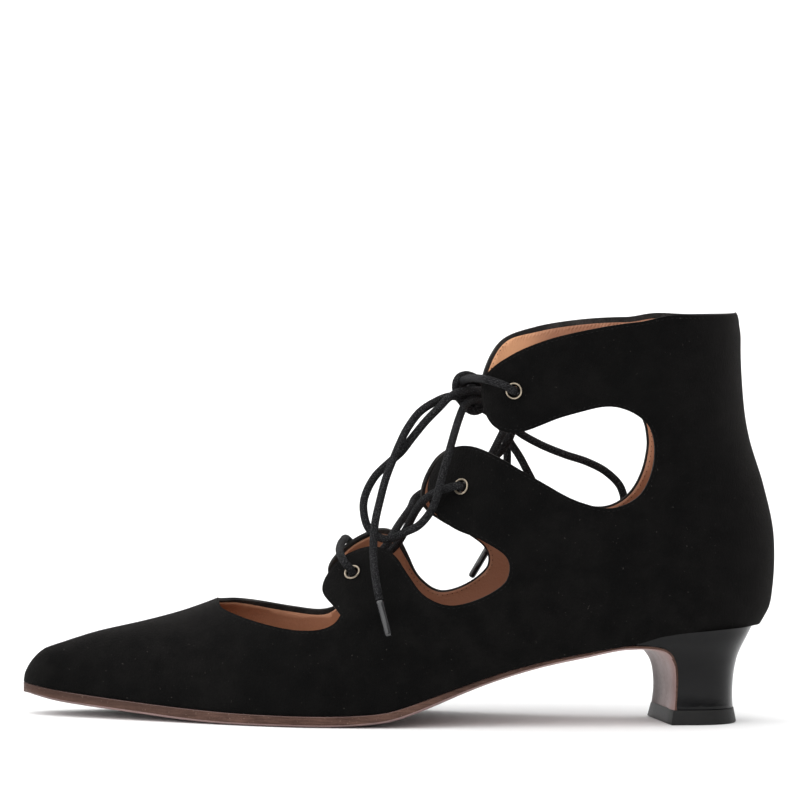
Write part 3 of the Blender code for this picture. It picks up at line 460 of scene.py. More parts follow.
# Shaders
class Paint:
    """A node tree with short calls for the nodes used here."""

    def __init__(self, tree):
        self.tree = tree

    def feed(self, socket, value):
        """Links a socket to another node's, or sets its own value."""
        if isinstance(value, bpy.types.NodeSocket):
            self.tree.links.new(value, socket)
        elif socket.type == "RGBA":
            socket.default_value = (*value[:3], 1.0)
        else:
            socket.default_value = value

    def node(self, kind, inputs=None, **settings):
        """Adds a shader node with its settings, and its inputs as values or links."""
        node = self.tree.nodes.new("ShaderNode" + kind)
        for key, value in settings.items():
            setattr(node, key, value)
        for key, value in (inputs or {}).items():
            self.feed(node.inputs[key], value)
        return node

    def math(self, operation, a, b=0.0, c=0.0):
        return self.node("Math", {0: a, 1: b, 2: c}, operation=operation).outputs[0]

    def plus(self, a, b):
        return self.math("ADD", a, b)

    def times(self, a, b):
        return self.math("MULTIPLY", a, b)

    def scaled(self, a, by, added):
        """A value times another, with a third added."""
        return self.math("MULTIPLY_ADD", a, by, added)

    def step(self, value, ends, to=(0.0, 1.0)):
        """A value carried smoothly from one range to another."""
        (low, high), (to_low, to_high) = ends, to
        inputs = {"Value": value, "From Min": low, "From Max": high, "To Min": to_low, "To Max": to_high}
        return self.node("MapRange", inputs, interpolation_type="SMOOTHSTEP").outputs["Result"]

    def blend(self, share, a, b):
        """Two colours mixed by a share."""
        return self.node("Mix", {0: share, 6: a, 7: b}, data_type="RGBA").outputs[2]

    def noise(self, place, scale, detail, roughness=0.5):
        inputs = {"Vector": place, "Scale": scale, "Detail": detail, "Roughness": roughness}
        return self.node("TexNoise", inputs).outputs[0]

    def parts(self, vector):
        return self.node("SeparateXYZ", {0: vector}).outputs


class Finish(Paint):
    """A material, with its Principled shader's constant values set."""

    def __init__(self, name, **values):
        self.material = bpy.data.materials.new(name)
        self.material.use_nodes = True
        super().__init__(self.material.node_tree)
        self.shader = next(n for n in self.tree.nodes if n.type == "BSDF_PRINCIPLED")
        for key, value in values.items():
            self.feed(self.shader.inputs[key.replace("_", " ").title().replace("Ior", "IOR")], value)

    @cached_property
    def at(self):
        """The object's own coordinates."""
        return self.node("TexCoord").outputs["Object"]

    def stretched(self, by):
        return self.node("Mapping", {"Vector": self.at, "Scale": by}).outputs[0]

    def attribute(self, name):
        """The three values of a mesh's attribute."""
        found = self.node("Attribute", attribute_name=name, attribute_type="GEOMETRY")
        return self.parts(found.outputs["Vector"])

    def group(self, name, *sizes):
        """Places a node group, building it at its first use, with its sizes in their order."""
        node = self.tree.nodes.new("ShaderNodeGroup")
        node.node_tree = bpy.data.node_groups.get(name) or GROUPS[name](name)
        for socket, value in zip(node.inputs, (self.at, *sizes)):
            self.feed(socket, value)
        return node.outputs

    def colour(self, value):
        self.feed(self.shader.inputs["Base Color"], value)

    def gloss(self, tone, ends):
        """Sets the roughness, or carries it from one value to another with a tone."""
        rough = self.step(tone, (0.0, 1.0), ends) if isinstance(ends, tuple) else ends
        self.feed(self.shader.inputs["Roughness"], rough)

    def emboss(self, height, depth):
        """Feeds a height to the shader's normal, its depth in metres."""
        bump = self.node("Bump", {"Height": height, "Distance": depth})
        self.feed(self.shader.inputs["Normal"], bump.outputs[0])


def new_group(name, sizes, results):
    """A node group that takes a place and some sizes, and gives some values."""
    tree = bpy.data.node_groups.new(name, "ShaderNodeTree")
    tree.interface.new_socket("Vector", in_out="INPUT", socket_type="NodeSocketVector")
    for label in sizes:
        tree.interface.new_socket(label, in_out="INPUT", socket_type="NodeSocketFloat")
    for label in results:
        tree.interface.new_socket(label, in_out="OUTPUT", socket_type="NodeSocketFloat")
    return Paint(tree), tree.nodes.new("NodeGroupInput").outputs, tree.nodes.new("NodeGroupOutput").inputs


def nap_group(name):
    """Soft mottling and fine fibres, as of suede, yarn or rubber."""
    paint, given, made = new_group(name, ("Fibre", "Mottle"), ("Tone", "Height"))
    fibre = paint.noise(given["Vector"], given["Fibre"], 6.0, 0.7)
    cloud = paint.noise(given["Vector"], given["Mottle"], 4.0, 0.6)
    soft = paint.step(cloud, (0.35, 0.68), (0.0, 0.6))
    fine = paint.step(fibre, (0.35, 0.7), (0.0, 0.4))
    paint.feed(made["Tone"], paint.plus(soft, fine))
    paint.feed(made["Height"], fibre)
    return paint.tree


def grain_group(name):
    """The pores and cells of smooth leather, and its stains."""
    paint, given, made = new_group(name, ("Cells", "Stain"), ("Tone", "Height"))
    inputs = {"Vector": given["Vector"], "Scale": given["Cells"], "Smoothness": 0.4}
    cells = paint.node("TexVoronoi", inputs, feature="SMOOTH_F1").outputs["Distance"]
    pores = paint.noise(given["Vector"], given["Cells"], 5.0, 0.65)
    cloud = paint.noise(given["Vector"], given["Stain"], 5.0, 0.6)
    soft = paint.step(cloud, (0.33, 0.68), (0.0, 0.72))
    fine = paint.step(pores, (0.35, 0.7), (0.0, 0.28))
    paint.feed(made["Tone"], paint.plus(soft, fine))
    paint.feed(made["Height"], paint.scaled(cells, -0.6, pores))
    return paint.tree


def specks_group(name):
    """A few tiny flecks of dust or fibre."""
    paint, given, made = new_group(name, ("Scale", "Rarity"), ("Mask",))
    dots = paint.noise(given["Vector"], given["Scale"], 1.0, 0.4)
    full = paint.plus(given["Rarity"], 0.05)
    paint.feed(made["Mask"], paint.step(dots, (given["Rarity"], full)))
    return paint.tree


GROUPS = {"Nap": nap_group, "Grain": grain_group, "Specks": specks_group}


def tints():
    return bpy.context.scene.shoe_colours


def toned(tint, by):
    return [c * by for c in tint]


# Finishes of one texture: colour and its shares, texture and sizes, bump, roughness or its two ends
Plain = namedtuple("Plain", "tint shares texture sizes depth gloss specular metallic", defaults=(0.0,))
BRASS = ((0.55, 1.0), "Nap", (2500.0, 600.0), 0.00004, (0.42, 0.26), 0.5, 1.0)
PLAIN = {
    "thread": Plain("thread", (1.0, 2.2), "Nap", (4200.0, 500.0), 0.00005, 0.7, 0.12),
    "sock": Plain("sock", (0.7, 1.0), "Grain", (900.0, 35.0), 0.0001, (0.7, 0.55), 0.25),
    "heel_lacquer": Plain("heel", (1.0, 1.5), "Nap", (420.0, 70.0), 0.00006, (0.18, 0.27), 0.2),
    "lift_rubber": Plain("lift", (0.7, 1.0), "Nap", (1300.0, 120.0), 0.0002, 0.5, 0.22),
    "lace_tip": Plain("tip", (1.0, 1.7), "Nap", (1800.0, 400.0), 0.00002, (0.08, 0.2), 0.7),
    "eyelet_brass": Plain("brass", *BRASS),
    # The hole's brass: tarnish with painted shade
    "eyelet_hole": Plain("tarnish", *BRASS),
}


def plain_material(name):
    """A finish whose texture's tone carries the colour and the gloss, and its height the bump."""
    plain = PLAIN[name]
    paint = Finish(name, specular_ior_level=plain.specular, metallic=plain.metallic)
    made = paint.group(plain.texture, *plain.sizes)
    tint = getattr(tints(), plain.tint)
    paint.colour(paint.blend(made["Tone"], *(toned(tint, share) for share in plain.shares)))
    paint.gloss(made["Tone"], plain.gloss)
    paint.emboss(made["Height"], plain.depth)
    return paint.material


def suede_material(name, brushed):
    look = tints()
    paint = Finish(
        name, roughness=0.95, specular_ior_level=0.08, sheen_weight=0.035, sheen_roughness=0.4,
        sheen_tint=(0.8, 0.72, 0.68),
    )
    nap = paint.group("Nap", 1500.0, 110.0)
    flecks = paint.group("Specks", 1100.0, 0.76)
    strokes = paint.noise(paint.stretched((1.0, 1.0, 0.55)), 30.0, 2.0)
    tone = paint.times(nap["Tone"], paint.step(strokes, (0.3, 0.7), (0.55, 1.25)))
    base = paint.blend(tone, toned(look.suede, brushed), toned(look.suede_worn, brushed))
    paint.colour(paint.blend(paint.times(flecks["Mask"], 0.5), base, look.dust))
    paint.emboss(nap["Height"], 0.00045)
    return paint.material


def lining_material():
    """Smooth leather, gathered into fine slanted pleats beside the collar's edge, with painted shade low
    in the waist and along the collar's top, and painted light at the collar's front.
    """
    look = tints()
    paint = Finish("lining", specular_ior_level=0.22)
    x, _, z = paint.parts(paint.at)
    grain = paint.group("Grain", 1300.0, 60.0)
    # Painted shade: darker low in the waist and along the collar's top, where the lining lies in shade
    waist_shade = paint.times(paint.step(x, WAIST_SHADE_X), paint.step(z, WAIST_SHADE_Z))
    unshaded = paint.scaled(waist_shade, -0.95, paint.scaled(grain["Tone"], 0.3, 0.7))
    unshaded = paint.plus(unshaded, paint.step(z, COLLAR_SHADE_Z, (0.0, -0.55)))
    # Painted light: lighter at the collar's front
    front = paint.times(paint.step(x, FRONT_LIGHT_X), paint.step(z, FRONT_LIGHT_Z))
    base = paint.blend(unshaded, look.lining_painted_shade, look.lining)
    paint.colour(paint.blend(front, base, look.lining_painted_light))
    paint.gloss(grain["Tone"], (0.62, 0.5))

    along, away, gathered = paint.attribute("border")
    sway = paint.times(paint.noise(paint.at, 260.0, 1.0), 6.0)
    slant = paint.scaled(away, 0.7, along)
    wave = paint.math("SINE", paint.scaled(slant, 2 * math.pi / PLEAT_PITCH, sway))
    pleats = paint.times(paint.times(wave, paint.step(away, PLEAT_REACH)), gathered)
    folds = paint.noise(paint.stretched((60.0, 60.0, 150.0)), 1.0, 3.0)
    height = paint.scaled(folds, 4.0, grain["Height"])
    paint.emboss(paint.scaled(pleats, 0.6, height), 0.00012)
    return paint.material


def sole_edge_material():
    """Stained leather in layers, darker toward the toe with painted shade under the upper, and painted
    black beside the heel.
    """
    look = tints()
    paint = Finish("sole_edge", specular_ior_level=0.16)
    x = paint.parts(paint.at)[0]
    from_top, from_face, _ = paint.attribute("rim")
    grain = paint.group("Grain", 1500.0, 90.0)
    flecks = paint.group("Specks", 1400.0, 0.70)
    layers = paint.noise(paint.stretched((140.0, 140.0, 2600.0)), 1.0, 4.0)
    tone = paint.scaled(paint.step(layers, (0.35, 0.65)), 0.5, paint.times(grain["Tone"], 0.6))
    # Painted shade: darker near the top, under the upper, and more so toward the toe
    toe = paint.step(x, TOE_X, (0.1, 0.85))
    shade_under_upper = paint.times(toe, paint.step(from_top, SHADE_REACH, (0.3, 1.0)))
    painted = paint.times(paint.step(x, FLAP_X), paint.step(from_face, FLAP_BORDER))
    base = paint.blend(tone, look.sole_stain_and_shade, look.sole)
    base = paint.blend(shade_under_upper, base, look.sole_stain_and_shade)
    base = paint.blend(paint.times(flecks["Mask"], 0.25), base, look.sole_fleck)
    paint.colour(paint.blend(painted, base, look.heel))
    paint.gloss(grain["Tone"], (0.56, 0.44))
    paint.emboss(paint.scaled(layers, 0.8, grain["Height"]), 0.00016)
    return paint.material


def sole_face_material():
    """Varnished leather, with painted light toward the outer side and a painted highlight up the heel's
    breast.
    """
    look = tints()
    paint = Finish("sole_face", specular_ior_level=0.1)
    _, y, z = paint.parts(paint.at)
    grain = paint.group("Grain", 900.0, 45.0)
    # Painted light and shade: dark on the medial side, lighter toward the outer side and up the breast
    outer = paint.step(y, OUTER_LIGHT_Y, (0.0, 0.6))
    high = paint.step(z, BREAST_LIGHT_Z, (0.0, 0.35))
    tone = paint.scaled(grain["Tone"], 0.2, paint.plus(outer, high))
    paint.colour(paint.blend(tone, toned(look.sole_face, 0.12), look.sole_face))
    paint.gloss(grain["Tone"], (0.42, 0.28))
    paint.emboss(grain["Height"], 0.00006)
    return paint.material


def lace_material():
    """The braid follows a lace by its own way round and way along."""
    look = tints()
    paint = Finish("lace_cord", roughness=0.72, specular_ior_level=0.05)
    across, up, along = paint.attribute("braid")
    turn = paint.times(paint.math("ARCTAN2", up, across), BRAID_STRANDS)
    run = paint.times(along, 2 * math.pi / BRAID_PITCH)
    right, left = (paint.math("SINE", paint.math(way, turn, run)) for way in ("ADD", "SUBTRACT"))
    plait = paint.math("MAXIMUM", right, left)
    flecks = paint.group("Specks", 3600.0, 0.56)
    nap = paint.group("Nap", 3200.0, 160.0)
    # Painted shade: the braid is darker in the grooves between its strands
    base = paint.blend(paint.step(plait, (-0.2, 1.0)), toned(look.lace, 0.3), look.lace)
    base = paint.blend(paint.times(nap["Tone"], 0.5), base, toned(look.lace, 1.8))
    # Painted glints on the yarn
    paint.colour(paint.blend(paint.times(flecks["Mask"], 0.45), base, look.lace_fleck))
    paint.emboss(paint.scaled(nap["Height"], 0.8, plait), 0.00016)
    return paint.material


# The upper
def cut_edges(bm):
    """The cut edges' vertices in order: the higher of the two long boundary loops."""
    left, loops = {v for v in bm.verts if v.is_boundary}, []
    while left:
        here, loop = min(left, key=lambda v: v.index), []
        while here:
            loop.append(here)
            left.discard(here)
            ends = [e.other_vert(here) for e in here.link_edges if e.is_boundary]
            here = next((end for end in ends if end in left), None)
        loops.append(loop)
    long = sorted(loops, key=len)[-2:]
    return max(long, key=lambda loop: sum(v.co.z for v in loop) / len(loop))


def ease(value, start, end):
    """A soft step from 0 at start to 1 at end."""
    u = min(max((value - start) / (end - start), 0.0), 1.0)
    return u * u * (3 - 2 * u)


def outer_sheet():
    """The upper's outer face alone, smooth and with its creases."""
    bm = joined_copy("upper")
    bmesh.ops.split_edges(bm, edges=sharp_edges(bm, math.radians(52.0)))
    outer = max(islands(bm), key=lambda patch: sum(f.calc_area() for f in patch))
    bmesh.ops.delete(bm, geom=[f for f in bm.faces if f not in outer], context="FACES")
    refine(bm)
    for vert in bm.verts:
        place = vert.co / MM
        rise = 0.0
        for crease in CREASES:
            away = place - Vector(crease.place)
            along = away.dot(crease.heading)
            across = (away - Vector(crease.heading) * along).length
            fall = (along / crease.along) ** 2 + (across / crease.across) ** 2
            if fall < 6.0:
                rise += crease.depth * math.exp(-fall)
        vert.co += vert.normal * (rise * MM)
        vert.co.x += CORNER * ease(place.z, 139.0, 143.5) * ease(place.x, 104.0, 114.0)
    bm.normal_update()
    bm.verts.index_update()
    return bm


def lining_margin(place, sizes):
    """How far the lining stays from the cut edge: wide at throat and collar, narrow at the cut-outs."""
    x, _, z = place / MM
    throat = ease(x, -20.0, -26.0) * ease(z, 43.0, 38.0)
    collar = ease(z, 112.0, 122.0) * (0.45 + 0.55 * ease(x, 36.0, 50.0))
    low_tab = 0.95 * ease(x, 8.0, 0.0) * ease(z, 38.0, 50.0)
    middle_tab = 0.4 * ease(x, 22.0, 14.0) * ease(z, 66.0, 74.0)
    wide = max(throat, collar, low_tab, middle_tab)
    return sizes.lining_trim + (sizes.lining_inset - sizes.lining_trim) * wide


def nearest(places):
    """A tree that finds the nearest of some places."""
    tree = KDTree(len(places))
    for i, place in enumerate(places):
        tree.insert(place, i)
    tree.balance()
    return tree


class EdgeWays:
    """Finds the way along the cut edges and the distance from them."""

    def __init__(self, places):
        self.halves, done, middles = [], 0.0, []
        for a, b in zip(places, places[1:] + places[:1]):
            whole = (b - a).length
            for share in (0.25, 0.75):
                middles.append(a.lerp(b, share))
                self.halves.append((done + whole * share, (b - a).normalized(), whole / 4))
            done += whole
        self.tree = nearest(middles)

    def find(self, place):
        middle, i, _ = self.tree.find(place)
        done, heading, reach = self.halves[i]
        step = min(max(heading.dot(place - middle), -reach), reach)
        near = middle + heading * step
        return done + step, (place - near).length, near


def inset_row(sheet, loop, inset):
    """The cut edges' loop moved in over the surface, as places with their outward normals."""
    tree = BVHTree.FromBMesh(sheet)
    row = []
    for before, here, after in zip(loop[-1:] + loop[:-1], loop, loop[1:] + loop[:1]):
        heading = (after.co - before.co).normalized()
        inward = here.normal.cross(heading).normalized()
        body = sum((f.calc_center_median() for f in here.link_faces), Vector()) / len(here.link_faces)
        if inward.dot(body - here.co) < 0:
            inward = -inward
        place, normal, _, _ = tree.find_nearest(here.co + inward * inset)
        row.append((place, normal))
    return row


class SHOE_OT_upper(Operator):
    """Makes the suede upper, its lining and its rows of stitches"""

    bl_idname = "shoe.upper"
    bl_label = "Upper"

    # How much lighter the cut edge is, its rounding, and the lining's play and least sliver
    EDGE_LIGHT = 12.0
    EDGE_ROUND = 0.00022
    LINING_PLAY = 0.00004
    SLIVER = 0.0003

    def execute(self, context):
        sizes = context.scene.shoe_sizes
        suede = suede_material("suede", 1.0)
        raw_edge = suede_material("suede_edge", self.EDGE_LIGHT)
        sheet = outer_sheet()
        loop = cut_edges(sheet)
        ways = EdgeWays([v.co.copy() for v in loop])

        piece = add_piece("upper_suede", sheet.copy(), [suede, raw_edge], ("upper",))
        wall = thicken(piece, sizes.suede_thick)
        wall.material_offset = 1
        wall.material_offset_rim = 1
        edge = piece.modifiers.new("cut edge", "BEVEL")
        edge.width = self.EDGE_ROUND
        edge.segments = 2
        edge.limit_method = "ANGLE"
        edge.angle_limit = math.radians(60.0)

        self.line(sheet.copy(), ways, sizes)
        self.stitch(sheet, loop, sizes)
        sheet.free()
        return {"FINISHED"}

    def line(self, bm, ways, sizes):
        """The lining: the same sheet inside the suede, trimmed back from the cut edges."""
        share, cut = {}, []
        for vert in bm.verts:
            _, away, near = ways.find(vert.co)
            share[vert] = away - lining_margin(near, sizes)
            if abs(share[vert]) < self.SLIVER:
                vert.co -= (vert.co - near).normalized() * share[vert]
                share[vert] = 0.0
                cut.append(vert)
        for edge in bm.edges[:]:
            a, b = edge.verts
            if share[a] * share[b] < 0:
                _, vert = bmesh.utils.edge_split(edge, a, share[a] / (share[a] - share[b]))
                cut.append(vert)
        for vert in cut:
            share[vert] = 0.0
        bmesh.ops.connect_verts(bm, verts=cut)
        outside = [f for f in bm.faces if sum(share[v] for v in f.verts) <= 0]
        bmesh.ops.delete(bm, geom=outside, context="FACES")
        bm.normal_update()
        border = bm.verts.layers.float_vector.new("border")
        for vert, normal in [(v, v.normal.copy()) for v in bm.verts]:
            along, away, near = ways.find(vert.co)
            vert[border] = along, away - lining_margin(near, sizes), ease(near.z, 0.110, 0.124)
            vert.co -= normal * (sizes.suede_thick + self.LINING_PLAY)
        piece = add_piece("upper_lining", bm, [lining_material()])
        thicken(piece, sizes.lining_thick)

    def stitch(self, sheet, loop, sizes):
        """A row of stitches beside the cut edges, and their backs on the lining round the cut-outs."""
        seed = bmesh.new()
        bmesh.ops.create_uvsphere(
            seed, u_segments=6, v_segments=5, radius=0.5, matrix=Matrix.Rotation(math.pi / 2, 4, "Y")
        )
        stitch = ended("stitch", seed)
        depth = sizes.suede_thick + sizes.lining_thick + self.LINING_PLAY
        for name, inset, long, sink in (
            ("stitches_outer", sizes.stitch_inset, 0.62, 0.0),
            ("stitches_inner", sizes.lining_trim + 0.0009, 0.28, -depth),
        ):
            row = inset_row(sheet, loop, inset)
            normals = nearest([place for place, _ in row])
            bm = bmesh.new()
            for i, (place, heading) in enumerate(evenly([p for p, _ in row], sizes.stitch_pitch)):
                if sink and lining_margin(place, sizes) > sizes.lining_trim * 1.8:
                    continue
                normal = row[normals.find(place)[1]][1]
                across = normal.cross(heading).normalized()
                turn = Matrix((heading, across, normal)).transposed().to_4x4()
                grow = Matrix.Diagonal((sizes.stitch_pitch * long, sizes.thread, sizes.thread, 1.0))
                lift = sink - sizes.thread * (0.12 + 0.16 * math.sin(1.7 * i) * math.sin(0.23 * i))
                move = Matrix.Translation(place + normal * lift) @ turn @ grow
                stitch.transform(move)
                bm.from_mesh(stitch)
                stitch.transform(move.inverted())
            add_piece(name, bm, [plain_material("thread")])
        bpy.data.meshes.remove(stitch)


class SHOE_OT_sole(Operator):
    """Makes the outsole with its stained edge and the sock inside"""

    bl_idname = "shoe.sole"
    bl_label = "Sole"

    def execute(self, context):
        bm = smooth_copy("outsole")
        soften(bm, 0.0003)
        top, under = [], []
        for patch in bm.faces:
            breast = patch.normal.x < -0.5 and patch.calc_center_median().x > 0.04
            patch.material_index = 1 if breast or abs(patch.normal.z) > 0.72 else 0
            if patch.material_index:
                (top if patch.normal.z > 0.5 else under).extend(v.co.copy() for v in patch.verts)
        rim = bm.verts.layers.float_vector.new("rim")
        trees = [nearest(places) for places in (top, under)]
        for vert in bm.verts:
            vert[rim] = (*(tree.find(vert.co)[2] for tree in trees), 0.0)
        add_piece("sole", bm, [sole_edge_material(), sole_face_material()], ("outsole",))
        bm = smooth_copy("insole")
        soften(bm, 0.0003)
        add_piece("sock", bm, [plain_material("sock")], ("insole",))
        return {"FINISHED"}


class SHOE_OT_heel(Operator):
    """Makes the lacquered heel and its rubber top lift"""

    bl_idname = "shoe.heel"
    bl_label = "Heel"

    # Within this of the sole the heel is glued to it, pressed a little past it
    GLUE_REACH = 0.0009
    GLUE_PRESS = 1.3
    # Rounds of smoothing, and the height and place behind which they work
    SMOOTHING = ((8, 0.0, 0.0), (24, 0.0215, 0.095))
    # How far the top is raised and the front tip drawn out, and where each step lies
    RAISE, RAISE_Z = 0.0004, (0.006, 0.030)
    DRAW, DRAW_X = 0.002, (0.0885, 0.0835)

    def execute(self, context):
        bm = smooth_copy("heel")
        held = {v for e in sharp_edges(bm) for v in e.verts}
        sole = joined_copy("outsole")
        glued = BVHTree.FromBMesh(sole)
        sole.free()
        for vert in bm.verts:
            place, _, _, away = glued.find_nearest(vert.co)
            if away < self.GLUE_REACH:
                vert.co = vert.co.lerp(place, self.GLUE_PRESS)
                held.add(vert)
        for turns, low, front in self.SMOOTHING:
            free = [v for v in bm.verts if v not in held and v.co.z > low and v.co.x > front]
            for _ in range(turns):
                bmesh.ops.smooth_vert(
                    bm, verts=free, factor=0.5, use_axis_x=True, use_axis_y=True, use_axis_z=True
                )
        for vert in bm.verts:
            vert.co.z += self.RAISE * ease(vert.co.z, *self.RAISE_Z)
            vert.co.x -= self.DRAW * ease(vert.co.x, *self.DRAW_X)
        soften(bm, 0.0002)
        add_piece("heel_block", bm, [plain_material("heel_lacquer")], ("heel",))
        bm = smooth_copy("top_lift")
        soften(bm, 0.00025)
        add_piece("heel_lift", bm, [plain_material("lift_rubber")], ("top_lift",))
        return {"FINISHED"}


class SHOE_OT_eyelets(Operator):
    """Makes the six brass eyelets with their rolled rims"""

    bl_idname = "shoe.eyelets"
    bl_label = "Eyelets"

    # Radii and heights in millimetres, and the hole's, whose brass is darkened as tarnish and painted
    # shade
    PROFILE = (
        (1.72, -2.20), (2.20, -2.45), (2.70, -2.35), (2.80, -2.05), (2.60, -1.90), (2.30, -1.90),
        (2.25, -1.70), (2.25, 0.05), (2.78, 0.05), (2.92, 0.18), (2.90, 0.42), (2.72, 0.60),
        (2.46, 0.62), (2.24, 0.46), (2.10, 0.10), (1.86, -0.40), (1.72, -0.90),
    )
    HOLE_RADIUS, HOLE_TOP = 2.12, 0.25

    def execute(self, context):
        metals = [plain_material("eyelet_brass"), plain_material("eyelet_hole")]
        profile = [(radius * MM, height * MM) for radius, height in self.PROFILE]
        for node in EYELETS:
            bm = turned(profile, 40)
            for patch in bm.faces:
                middle = patch.calc_center_median() / MM
                hole = middle.xy.length < self.HOLE_RADIUS and middle.z < self.HOLE_TOP
                patch.material_index = 1 if hole else 0
            carry(bm, *eyelet_axes(node))
            add_piece(node + "_ring", bm, metals, (node,))
        return {"FINISHED"}


def lace_tube(name, points, diameter, material, replaces):
    """A round lace along a smooth route, with its way round and along kept for the braid."""
    path = smooth_path(points, LACE_STEP)
    data = bpy.data.curves.new(name, "CURVE")
    data.dimensions = "3D"
    data.bevel_depth = diameter / 2
    data.bevel_resolution = 6
    data.use_fill_caps = True
    spline = data.splines.new("POLY")
    spline.points.add(len(path) - 1)
    for point, place in zip(spline.points, path):
        point.co = (*place, 1.0)
    cord = put(name, data)
    mesh = bpy.data.meshes.new_from_object(cord.evaluated_get(bpy.context.evaluated_depsgraph_get()))
    bpy.data.objects.remove(cord, do_unlink=True)
    bpy.data.curves.remove(data)
    mesh.name = name
    ways = [0.0]
    for a, b in zip(path, path[1:]):
        ways.append(ways[-1] + (b - a).length)
    sides = len(mesh.vertices) // len(path)
    braid = mesh.attributes.new("braid", "FLOAT_VECTOR", "POINT")
    for i in range(sides * len(path)):
        turn = 2 * math.pi * (i % sides) / sides
        braid.data[i].vector = (math.cos(turn), math.sin(turn), ways[i // sides])
    mesh.materials.clear()
    return add_piece(name, mesh, [material], replaces), path


def lace_tip(name, ends, diameter, material, node):
    """A tip rolled on a lace's end, a little waisted and round at its mouth."""
    start, stop = mm(ends)
    long, r = (stop - start).length, diameter / 2
    profile = (
        (0.0, 0.0), (r * 0.90, 0.0), (r * 1.03, 0.0003), (r * 1.04, 0.0011), (r * 0.97, 0.0016),
        (r * 0.95, long * 0.5), (r * 0.93, long - 0.0011), (r * 0.84, long - 0.0005),
        (r * 0.62, long - 0.0001), (0.0, long),
    )
    bm = turned(profile, 28)
    carry(bm, start, stop - start)
    return add_piece(name, bm, [material], (node,))


class SHOE_OT_lace(Operator):
    """Makes the lacing, the knot and the bow with its tips"""

    bl_idname = "shoe.lace"
    bl_label = "Lace"

    def execute(self, context):
        sizes = context.scene.shoe_sizes
        yarn, tip = lace_material(), plain_material("lace_tip")
        lace_tube(
            "lacing", lacing_points(), sizes.lace, yarn,
            ("lace_bar", "lace_cross_low", "lace_cross_high", "lace_tie_lateral", "lace_tie_medial"),
        )
        knot, _ = lace_tube("knot", mm(KNOT_WRAP), sizes.lace, yarn, ("lace_knot",))
        for side, loop, end, ends in (
            ("lateral", LATERAL_LOOP, LATERAL_END, LATERAL_TIP),
            ("medial", MEDIAL_LOOP, MEDIAL_END, MEDIAL_TIP),
        ):
            bow, path = lace_tube("loop_" + side, mm(loop), sizes.lace, yarn, ("lace_loop_" + side,))
            cap = lace_tip("tip_" + side, ends, sizes.tip, tip, "aglet_" + side)
            tail, path = lace_tube("end_" + side, mm(end), sizes.lace, yarn, ("lace_end_" + side,))
        return {"FINISHED"}


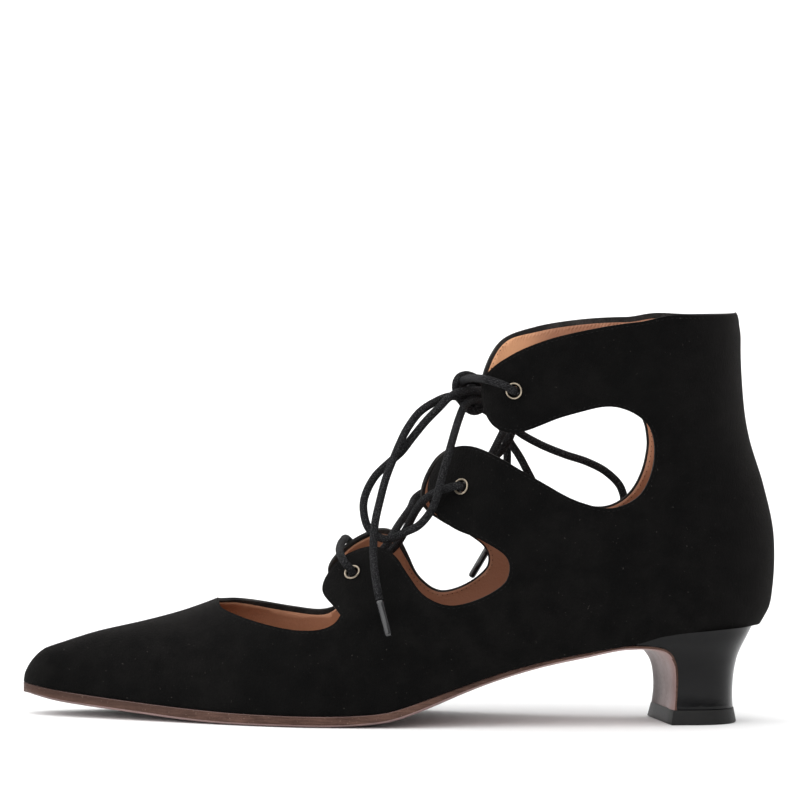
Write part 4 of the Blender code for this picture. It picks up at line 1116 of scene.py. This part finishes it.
class SHOE_OT_studio(Operator):
    """Makes the floor, the light and the camera"""

    bl_idname = "shoe.studio"
    bl_label = "Studio"

    # The floor: half its width, its depth to the bend at the back, the bend's radius and the wall's top
    HALF_WIDTH, BACK, BEND, TOP = 9.0, 6.0, 2.0, 6.0
    # The lamp's width and the way its light travels
    LAMP_WIDE = math.radians(110.0)
    LAMP_WAY = (0.45, 0.5, -1.0)
    # How the sky's brightness steps from the front to the back and toward the toe
    FRONT_TO_BACK, TO_TOE = (-0.9, 0.5), (-0.3, -0.95)

    def execute(self, context):
        scene, look = context.scene, context.scene.shoe_studio
        tint = tints().floor
        paint = Finish("studio_floor", roughness=0.9, specular_ior_level=0.1, base_color=tint)
        bm = bmesh.new()
        curve = [math.pi * i / 24 for i in range(1, 13)]
        bend = [(self.BACK + self.BEND * math.sin(a), self.BEND - self.BEND * math.cos(a)) for a in curve]
        sweep = [(-self.BACK, 0.0), (self.BACK, 0.0), *bend, (self.BACK + self.BEND, self.TOP)]
        verts = [bm.verts.new((-self.HALF_WIDTH, y, z)) for y, z in sweep]
        edges = [bm.edges.new(pair) for pair in zip(verts, verts[1:])]
        swept = bmesh.ops.extrude_edge_only(bm, edges=edges)["geom"]
        moved = [v for v in swept if isinstance(v, bmesh.types.BMVert)]
        bmesh.ops.translate(bm, vec=(2 * self.HALF_WIDTH, 0.0, 0.0), verts=moved)
        bmesh.ops.recalc_face_normals(bm, faces=bm.faces)
        mesh = ended("studio_floor", bm)
        mesh.materials.append(paint.material)
        mesh.shade_smooth()
        floor = put("studio_floor", mesh)

        world = bpy.data.worlds.new("studio")
        world.use_nodes = True
        paint, sky = Paint(world.node_tree), world.node_tree.nodes["Background"]
        x, y, _ = paint.parts(paint.node("TexCoord").outputs["Generated"])
        back = paint.step(y, self.FRONT_TO_BACK, (look.room, look.sky))
        toward_toe = paint.step(x, self.TO_TOE, (0.0, look.side))
        paint.feed(sky.inputs["Color"], (1.0, 1.0, 1.0))
        paint.feed(sky.inputs["Strength"], paint.plus(back, toward_toe))
        scene.world = world
        lamp = bpy.data.lights.new("lamp", "SUN")
        lamp.energy = look.lamp
        lamp.angle = self.LAMP_WIDE
        way = Vector(self.LAMP_WAY).to_track_quat("-Z", "Y")
        put("lamp", lamp).rotation_euler = way.to_euler()

        camera = bpy.data.cameras.new("camera")
        camera.lens = look.lens
        camera.sensor_width = 36.0
        camera.clip_end = 100.0
        view = put("camera", camera)
        turn = (Vector(look.aim) - Vector(look.eye)).to_track_quat("-Z", "Y").to_matrix().to_4x4()
        view.matrix_world = Matrix.Translation(look.eye) @ turn @ Matrix.Rotation(look.roll, 4, "Z")
        scene.camera = view
        scene.view_settings.view_transform = "Standard"
        return {"FINISHED"}


class SHOE_PT_panel(Panel):
    """Lists the shoe's pieces, sizes, colours and studio"""

    bl_label = "Laced Shoe"
    bl_idname = "SHOE_PT_panel"
    bl_space_type = "VIEW_3D"
    bl_region_type = "UI"
    bl_category = "Shoe"

    def draw(self, context):
        for maker in MAKERS:
            self.layout.operator(maker.bl_idname)
        for name in SETTINGS:
            box, group = self.layout.box(), getattr(context.scene, name)
            for key in group.bl_rna.properties.keys():
                if key not in {"rna_type", "name"}:
                    box.prop(group, key)


MAKERS = (SHOE_OT_studio, SHOE_OT_lace, SHOE_OT_upper, SHOE_OT_sole, SHOE_OT_heel, SHOE_OT_eyelets)
SETTINGS = {"shoe_sizes": ShoeSizes, "shoe_colours": ShoeColours, "shoe_studio": ShoeStudio}
CLASSES = (*SETTINGS.values(), *MAKERS, SHOE_PT_panel)


def register():
    for made in CLASSES:
        bpy.utils.register_class(made)
    for name, group in SETTINGS.items():
        setattr(bpy.types.Scene, name, PointerProperty(type=group))


def unregister():
    for name in SETTINGS:
        delattr(bpy.types.Scene, name)
    for made in reversed(CLASSES):
        bpy.utils.unregister_class(made)


def main():
    register()
    for step in ("studio", "lace", "upper", "sole", "heel", "eyelets"):
        getattr(bpy.ops.shoe, step)()


if __name__ == "__main__":
    main()
